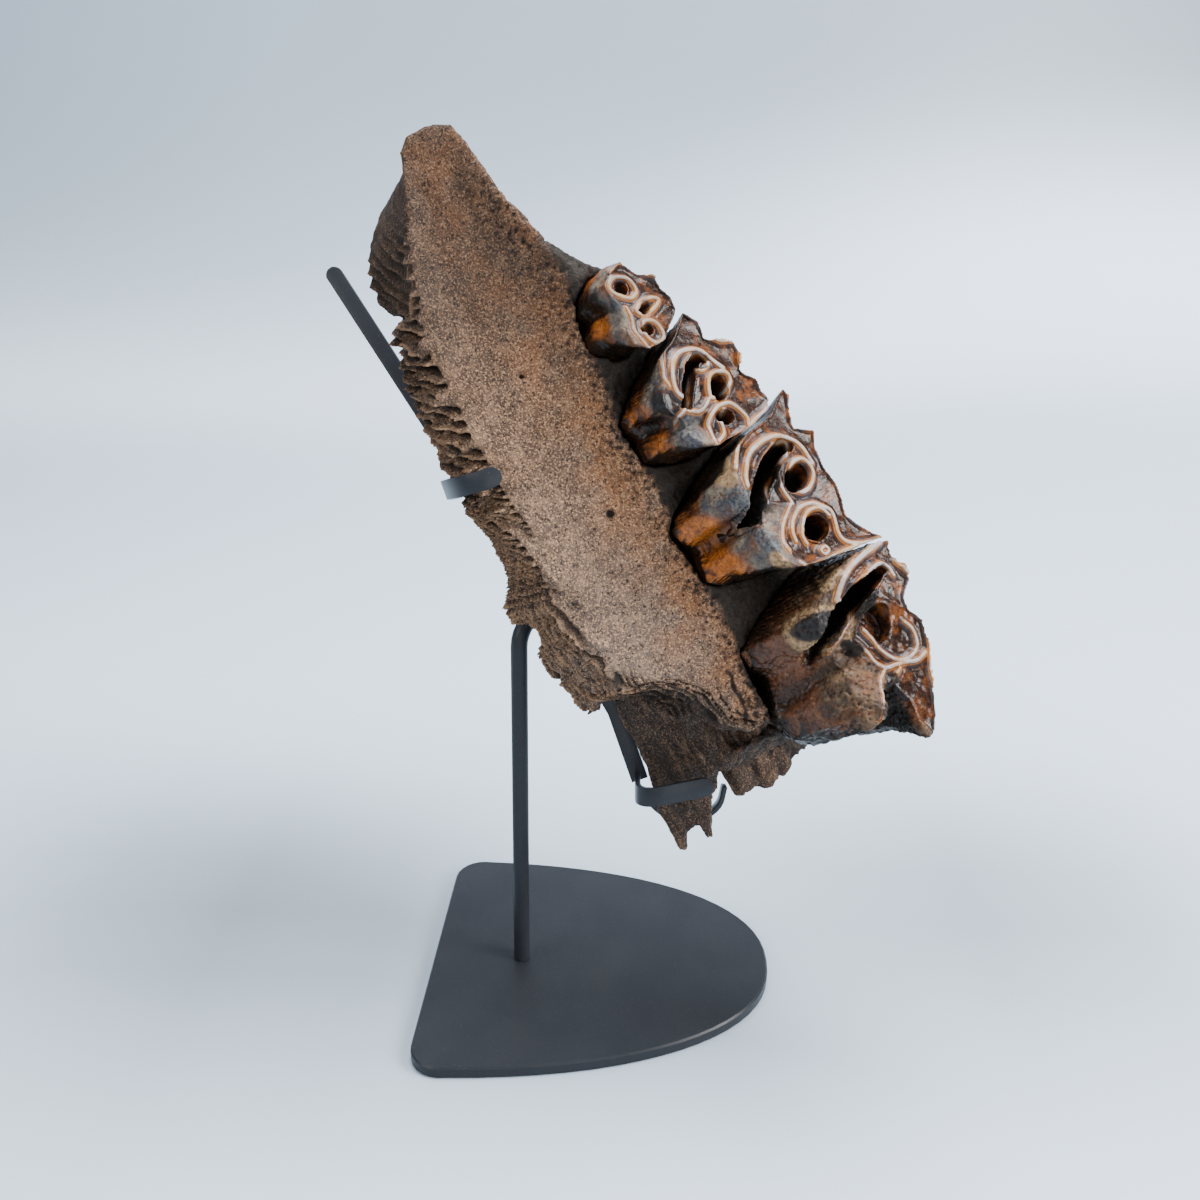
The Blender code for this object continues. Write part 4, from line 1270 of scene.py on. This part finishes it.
PREMOLAR_4 = Tooth(
    "premolar_4", 21.0,
    (
        (0.35, ((-22.4, 19.2), (-19.3, 16.9), (-15.9, 14.4), (-13.0, 14.1))),
        (0.75, ((-10.5, 35.8), (-13.0, 34.7), (-15.5, 33.7), (-18.3, 32.1), (-19.9, 28.9), (-20.4, 24.9),
                (-19.1, 21.5), (-16.8, 18.7), (-13.7, 16.5), (-10.8, 15.3), (-8.9, 15.8))),
        (0.4, ((-8.9, 15.8), (-9.7, 18.7), (-12.3, 21.4), (-15.9, 25.0), (-17.8, 28.0), (-17.8, 30.7),
               (-15.6, 31.9), (-13.5, 31.9), (-12.6, 28.9), (-13.5, 26.9))),
        (0.5, ((-9.4, 28.3), (-10.4, 31.0), (-10.0, 34.4), (-8.1, 36.4), (-5.8, 35.3), (-4.4, 32.1),
               (-4.0, 28.1), (-4.5, 25.3), (-6.9, 26.1), (-9.4, 28.3))),
        (0.5, ((7.6, 31.6), (5.7, 32.8), (2.7, 32.3), (-0.5, 30.5), (-1.5, 26.7), (-0.7, 22.9), (1.0, 19.1),
               (4.1, 17.6), (8.1, 16.8))),
        (0.4, ((0.1, 27.1), (1.7, 23.8), (4.6, 22.6), (6.2, 21.6), (7.2, 18.5))),
        (0.35, ((-5.0, 1.8), (-3.2, 3.6), (-3.1, 6.0), (-4.0, 9.3), (-4.8, 12.7), (-6.1, 16.0), (-8.2, 17.4))),
        (0.3, ((-4.5, 15.0), (-2.8, 18.9), (-3.5, 22.1), (-4.8, 24.6))),
        (0.3, ((-32.1, 36.0), (-29.7, 38.9), (-26.0, 39.3), (-20.7, 39.3), (-17.8, 41.3), (-15.7, 46.6),
               (-12.5, 46.6), (-9.4, 43.7), (-6.0, 45.0), (-3.0, 46.2), (1.2, 45.2), (4.4, 47.7))),
        (0.4, ((4.9, 47.2), (6.4, 40.8), (7.1, 35.3), (8.3, 30.9), (9.1, 24.1), (8.9, 18.4))),
    ),
    ((-32.1, 36.0), (-29.7, 38.9), (-20.7, 39.3), (-17.8, 41.3), (-15.7, 46.6), (-12.5, 46.6), (-9.4, 43.7),
     (-3.0, 46.2), (4.4, 47.7), (6.4, 40.8), (8.3, 30.9), (8.9, 18.4), (4.0, 16.5), (0.0, 17.0), (-3.6, 22.0),
     (-4.5, 15.0), (-4.8, 12.7), (-3.1, 6.0), (-5.0, 1.8), (-10.0, 4.0), (-12.8, 9.0), (-13.0, 14.1),
     (-15.9, 14.4), (-22.4, 19.2), (-27.0, 28.0)),
    grooves=((2.2, 2.4, ((-0.7, 17.0), (-5.8, -6.0))),),
    patches=(
        (Region.FACET, -8.7, 9.5, 6.4, 4.4, 50.0),
        (Region.GREY, 0.5, 10.5, 6.0, 5.0, 0.0),
        (Region.DEEP, -14.6, 28.0, 1.2, 3.4, -30.0),
        (Region.DEEP, -7.8, 22.2, 1.3, 3.6, 20.0),
    ),
    finish=ToothFinish("premolar_4_ivory"),
)

MOLAR_1 = Tooth(
    "molar_1", 27.0,
    (
        (0.5, ((7.9, 28.4), (11.0, 23.8), (13.8, 20.3), (16.1, 17.8))),
        (0.7, ((27.0, 44.8), (24.2, 45.0), (21.4, 45.1), (18.8, 44.0), (16.2, 41.5), (14.4, 38.3), (13.6, 33.2),
               (14.3, 27.3), (16.4, 23.0), (19.2, 19.5), (22.1, 17.8))),
        (0.5, ((28.4, 20.8), (24.6, 23.5), (20.8, 26.5), (18.4, 30.2), (16.8, 35.0), (16.8, 39.5), (18.5, 40.3),
               (20.8, 37.6), (21.8, 33.8), (24.5, 30.7), (28.1, 28.8), (31.5, 28.5), (33.5, 28.5))),
        (0.55, ((24.0, 42.1), (26.7, 43.5), (30.1, 42.3), (32.5, 37.9), (32.2, 34.3), (29.7, 32.7),
                (26.1, 34.1), (23.7, 37.9), (24.0, 42.1))),
        (0.55, ((56.6, 48.6), (54.4, 42.8), (51.8, 38.5), (48.5, 37.6), (44.8, 39.2), (41.7, 40.2),
                (39.2, 38.6), (36.6, 35.5), (35.6, 30.5), (36.9, 26.3), (39.6, 22.7), (42.8, 21.6))),
        (0.45, ((42.3, 38.5), (39.1, 37.1), (37.9, 33.8), (38.3, 30.4), (40.3, 27.5), (42.6, 25.2),
                (45.1, 24.8))),
        (0.4, ((33.4, 27.6), (35.1, 24.1), (37.5, 19.9), (40.4, 17.7), (43.8, 17.7))),
        (0.25, ((48.9, 30.1), (50.5, 30.5), (50.7, 28.3), (49.1, 27.9), (48.9, 30.1))),
        (0.4, ((48.2, 18.4), (51.1, 20.5), (51.9, 24.6), (52.7, 31.4), (53.7, 38.1), (55.5, 44.3),
               (56.8, 51.1))),
        (0.3, ((1.9, 48.5), (1.9, 53.0), (4.8, 53.8), (9.3, 51.6), (14.1, 48.6), (16.7, 51.2), (18.8, 54.3),
               (21.2, 54.1), (24.3, 50.5), (28.4, 50.2), (33.4, 49.4), (39.1, 50.1), (43.1, 47.2), (47.6, 46.9),
               (52.4, 50.1), (53.8, 54.2), (57.1, 55.8))),
    ),
    ((1.9, 48.5), (1.9, 53.0), (4.8, 53.8), (14.1, 48.6), (18.8, 54.3), (24.3, 50.5), (33.4, 49.4),
     (43.1, 47.2),
     (52.4, 50.1), (57.1, 55.8), (55.5, 44.3), (52.7, 31.4), (51.1, 20.5), (48.2, 18.4), (43.8, 17.7),
     (37.5, 19.9), (33.4, 27.6), (28.4, 20.8), (22.1, 16.8), (16.1, 17.8), (13.8, 20.3), (7.9, 28.4),
     (4.0, 38.0)),
    grooves=((2.8, 2.6, ((30.0, 19.0), (30.0, -14.0))),),
    patches=(
        (Region.CREAM, 12.5, 12.0, 8.0, 6.0, 20.0),
        (Region.GREY, 25.8, 12.1, 6.5, 5.0, 0.0),
        (Region.GREY, 38.0, 12.0, 5.0, 3.5, 30.0),
        (Region.CREAM, 45.0, 12.0, 4.0, 3.0, 30.0),
        (Region.DEEP, 25.6, 28.0, 7.0, 1.7, -58.0),
    ),
    finish=ToothFinish("molar_1_ivory"),
)

MOLAR_2 = Tooth(
    "molar_2", 34.0,
    (
        (0.9, ((57.8, 50.1), (57.6, 42.2), (58.0, 34.9), (59.5, 29.3), (61.3, 24.9), (63.2, 21.5))),
        (0.5, ((67.9, 46.8), (65.1, 47.0), (62.7, 45.1), (62.3, 41.1), (63.2, 34.9), (64.1, 28.8), (65.0, 24.2),
               (68.0, 22.8))),
        (0.45, ((57.2, 49.6), (56.0, 41.1), (54.0, 32.7), (53.2, 25.9), (54.4, 19.7))),
        (0.4, ((62.9, 22.8), (68.2, 22.6), (71.5, 16.8), (72.3, 9.6), (70.4, 1.8), (67.6, -2.5), (64.4, -4.6))),
        (0.5, ((74.3, 23.6), (78.3, 24.7), (82.0, 25.1), (85.4, 26.9), (88.4, 30.2), (89.3, 34.7), (88.1, 38.7),
               (84.1, 40.8), (80.7, 39.9))),
        (0.5, ((76.8, 19.1), (80.8, 20.1), (83.8, 20.6), (86.8, 22.8), (88.1, 26.8), (89.4, 30.8), (91.4, 35.3),
               (91.3, 39.9))),
        (0.35, ((86.8, 22.8), (88.4, 18.6), (92.1, 16.3), (95.8, 13.0), (97.7, 9.0))),
        (0.4, ((65.2, 50.7), (69.0, 52.3), (72.5, 52.1), (75.3, 47.4), (78.8, 45.9), (82.5, 47.6), (87.1, 46.1),
               (91.8, 42.1), (96.4, 37.8), (101.6, 34.9), (107.7, 30.5), (111.6, 25.2))),
        (0.35, ((89.7, 27.7), (90.9, 22.8), (93.1, 16.8))),
    ),
    ((57.2, 52.0), (62.0, 52.0), (65.2, 50.7), (69.0, 52.3), (72.5, 52.1), (78.8, 45.9), (87.1, 46.1),
     (96.4, 37.8), (107.7, 30.5), (111.6, 25.2), (100.0, 22.0), (93.0, 19.0), (86.8, 21.8), (80.8, 18.6),
     (74.3, 18.0), (68.0, 21.8), (63.0, 20.5), (58.0, 26.0), (56.4, 36.0)),
    grooves=((2.6, 3.2, ((76.4, 14.0), (74.4, -22.0))),),
    patches=(
        (Region.CREAM, 57.0, 24.5, 3.0, 6.5, 0.0),
        (Region.CREAM, 66.5, 9.5, 14.5, 6.8, 72.0),
        (Region.FACET, 65.5, 10.0, 12.0, 4.0, 76.0),
        (Region.DEEP, 92.6, 20.6, 5.5, 2.2, -60.0),
        (Region.DEEP, 97.0, 14.6, 5.5, 2.6, -60.0),
        (Region.DEEP, 69.5, 31.0, 2.2, 7.5, 8.0),
        (Region.DEEP, 76.5, 16.5, 2.4, 4.2, -30.0),
    ),
    finish=ToothFinish("molar_2_ivory", neck=(0.095, 0.038, 0.018), neck_dark=(0.030, 0.013, 0.008),
                       cement=(0.095, 0.058, 0.032), cement_grey=(0.026, 0.015, 0.009), gritty=0.65),
    roughness=0.30,
)


@dataclass(frozen=True)
class Lamp:
    """A soft rectangular light."""

    name: str
    place: Point3
    size: Point2
    watts: float
    tint: Colour
    aim: Point3 = (0.04, 0.0, 0.17)

    def build(self) -> None:
        """Adds the light, turned to its aim."""
        light = bpy.data.lights.new(self.name, "AREA")
        light.shape = "RECTANGLE"
        light.size, light.size_y = self.size
        light.energy = self.watts
        light.color = self.tint
        lamp = bpy.data.objects.new(self.name, light)
        lamp.location = self.place
        lamp.rotation_euler = (Vector(self.aim) - Vector(self.place)).to_track_quat("-Z", "Y").to_euler()
        bpy.context.scene.collection.objects.link(lamp)


@dataclass
class Studio:
    """Sweep, lights and camera."""

    width: float = 6.0
    front: float = -6.0
    bend: float = 1.1
    radius: float = 0.7
    rise: float = 1.6
    camera_mm: Point3 = (43.55, -350.58, 283.79)
    camera_way: Point3 = (-0.0376, 0.9328, -0.3585)
    lens_mm: float = 34.146
    sensor_mm: float = 36.0
    sky: Colour = (0.80, 0.86, 0.92)
    sky_strength: float = 0.62
    lamps: tuple[Lamp, ...] = (
        Lamp("left_soft", (-0.95, -0.75, 0.85), (0.7, 0.7), 10.0, (1.0, 0.985, 0.96)),
        Lamp("right_soft", (1.05, -0.35, 0.75), (0.5, 0.6), 40.0, (1.0, 0.99, 0.975)),
        Lamp("top_soft", (0.1, 0.15, 1.25), (0.7, 0.6), 38.0, (0.97, 0.985, 1.0)),
        Lamp("front_fill", (0.15, -1.3, 0.35), (0.8, 0.5), 5.0, (1.0, 0.98, 0.96)),
        Lamp("sweep_glow", (1.0, 0.9, 0.9), (0.6, 0.5), 22.0, (1.0, 1.0, 1.0), (0.6, 1.6, 0.2)),
    )
    finish: BackdropFinish = field(default_factory=BackdropFinish)

    def build_sweep(self) -> None:
        """Makes the floor that curves up behind the object."""
        length = self.bend - self.front + self.radius * math.pi / 2 + self.rise
        form = bmesh.new()
        bmesh.ops.create_grid(form, x_segments=200, y_segments=260, size=0.5)
        for vert in form.verts:
            run = self.front + (vert.co.y + 0.5) * length
            turn = min(max(run - self.bend, 0.0) / self.radius, math.pi / 2)
            flat = min(run, self.bend)
            upright = max(run - self.bend - self.radius * math.pi / 2, 0.0)
            vert.co = (vert.co.x * self.width * 2, flat + self.radius * math.sin(turn),
                       self.radius * (1 - math.cos(turn)) + upright)
        mesh = bpy.data.meshes.new("sweep")
        form.to_mesh(mesh)
        form.free()
        flat = np.empty(len(mesh.vertices) * 3)
        mesh.vertices.foreach_get("co", flat)
        shade, glow = self.light_falloff(flat.reshape(-1, 3))
        for name, values in (("shade", shade), ("glow", glow)):
            mesh.attributes.new(name, "FLOAT", "POINT").data.foreach_set("value", values.astype(np.float32))
        sweep = bpy.data.objects.new("sweep", mesh)
        bpy.context.scene.collection.objects.link(sweep)
        mesh.materials.append(self.finish.build())
        mesh.shade_smooth()

    def light_falloff(self, places: np.ndarray) -> tuple[np.ndarray, np.ndarray]:
        """Where the sweep is shaded and where it glows.

        Args:
            places: points of the sweep in metres.

        Returns:
            Two numbers from 0 to 1 for each point.
        """
        x, y, z = places.T
        turn = np.arccos(np.clip(1.0 - z / self.radius, -1.0, 1.0))
        run = np.where(z > 1e-6, self.bend + self.radius * turn, y)
        kept = 1.0 - smooth_step(1.55, 1.95, run) * (0.28 + 0.34 * np.clip(x, -0.6, 1.0))
        kept *= 1.0 - 0.66 * np.exp(-((x + 0.11) / 0.15) ** 2 - ((y - 0.02) / 0.12) ** 2)
        kept *= 1.0 - 0.56 * np.exp(-((x - 0.18) / 0.13) ** 2 - ((y - 0.04) / 0.11) ** 2)
        middle = 1.15 + 0.35 * smooth_step(-0.2, 0.7, x)
        glow = 0.60 * np.exp(-(((run - middle) / 0.33) ** 2)) * (0.8 + 0.2 * np.clip(x, -1.0, 1.0))
        return 1.0 - kept, glow

    def build_lights(self) -> None:
        """Adds the soft lights and the pale surroundings."""
        for lamp in self.lamps:
            lamp.build()
        world = bpy.data.worlds.new("studio")
        world.use_nodes = True
        background = world.node_tree.nodes["Background"]
        background.inputs[0].default_value = (*self.sky, 1.0)
        background.inputs[1].default_value = self.sky_strength
        bpy.context.scene.world = world

    def build_camera(self) -> None:
        """Places the camera at the photograph's angle."""
        place = Vector(self.camera_mm) * MM
        forward = Vector(self.camera_way).normalized()
        right = forward.cross(Vector((0.0, 0.0, 1.0))).normalized()
        turn = Matrix((right, right.cross(forward), -forward)).transposed()
        data = bpy.data.cameras.new("photo_camera")
        data.sensor_fit = "HORIZONTAL"
        data.sensor_width = self.sensor_mm
        data.lens = self.lens_mm
        data.clip_start = 0.01
        camera = bpy.data.objects.new("photo_camera", data)
        camera.matrix_world = Matrix.Translation(place) @ turn.to_4x4()
        bpy.context.scene.collection.objects.link(camera)
        bpy.context.scene.camera = camera

    def build(self) -> None:
        """Makes the whole studio."""
        self.build_sweep()
        self.build_lights()
        self.build_camera()


def main() -> None:
    """Builds every piece in order and reports it."""
    logging.basicConfig(level=logging.INFO, format="%(message)s")
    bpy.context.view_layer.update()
    Studio().build()
    Stand().build()
    Maxilla().build()
    for tooth in (PREMOLAR_3, PREMOLAR_4, MOLAR_1, MOLAR_2):
        tooth.build()


if __name__ == "__main__":
    main()
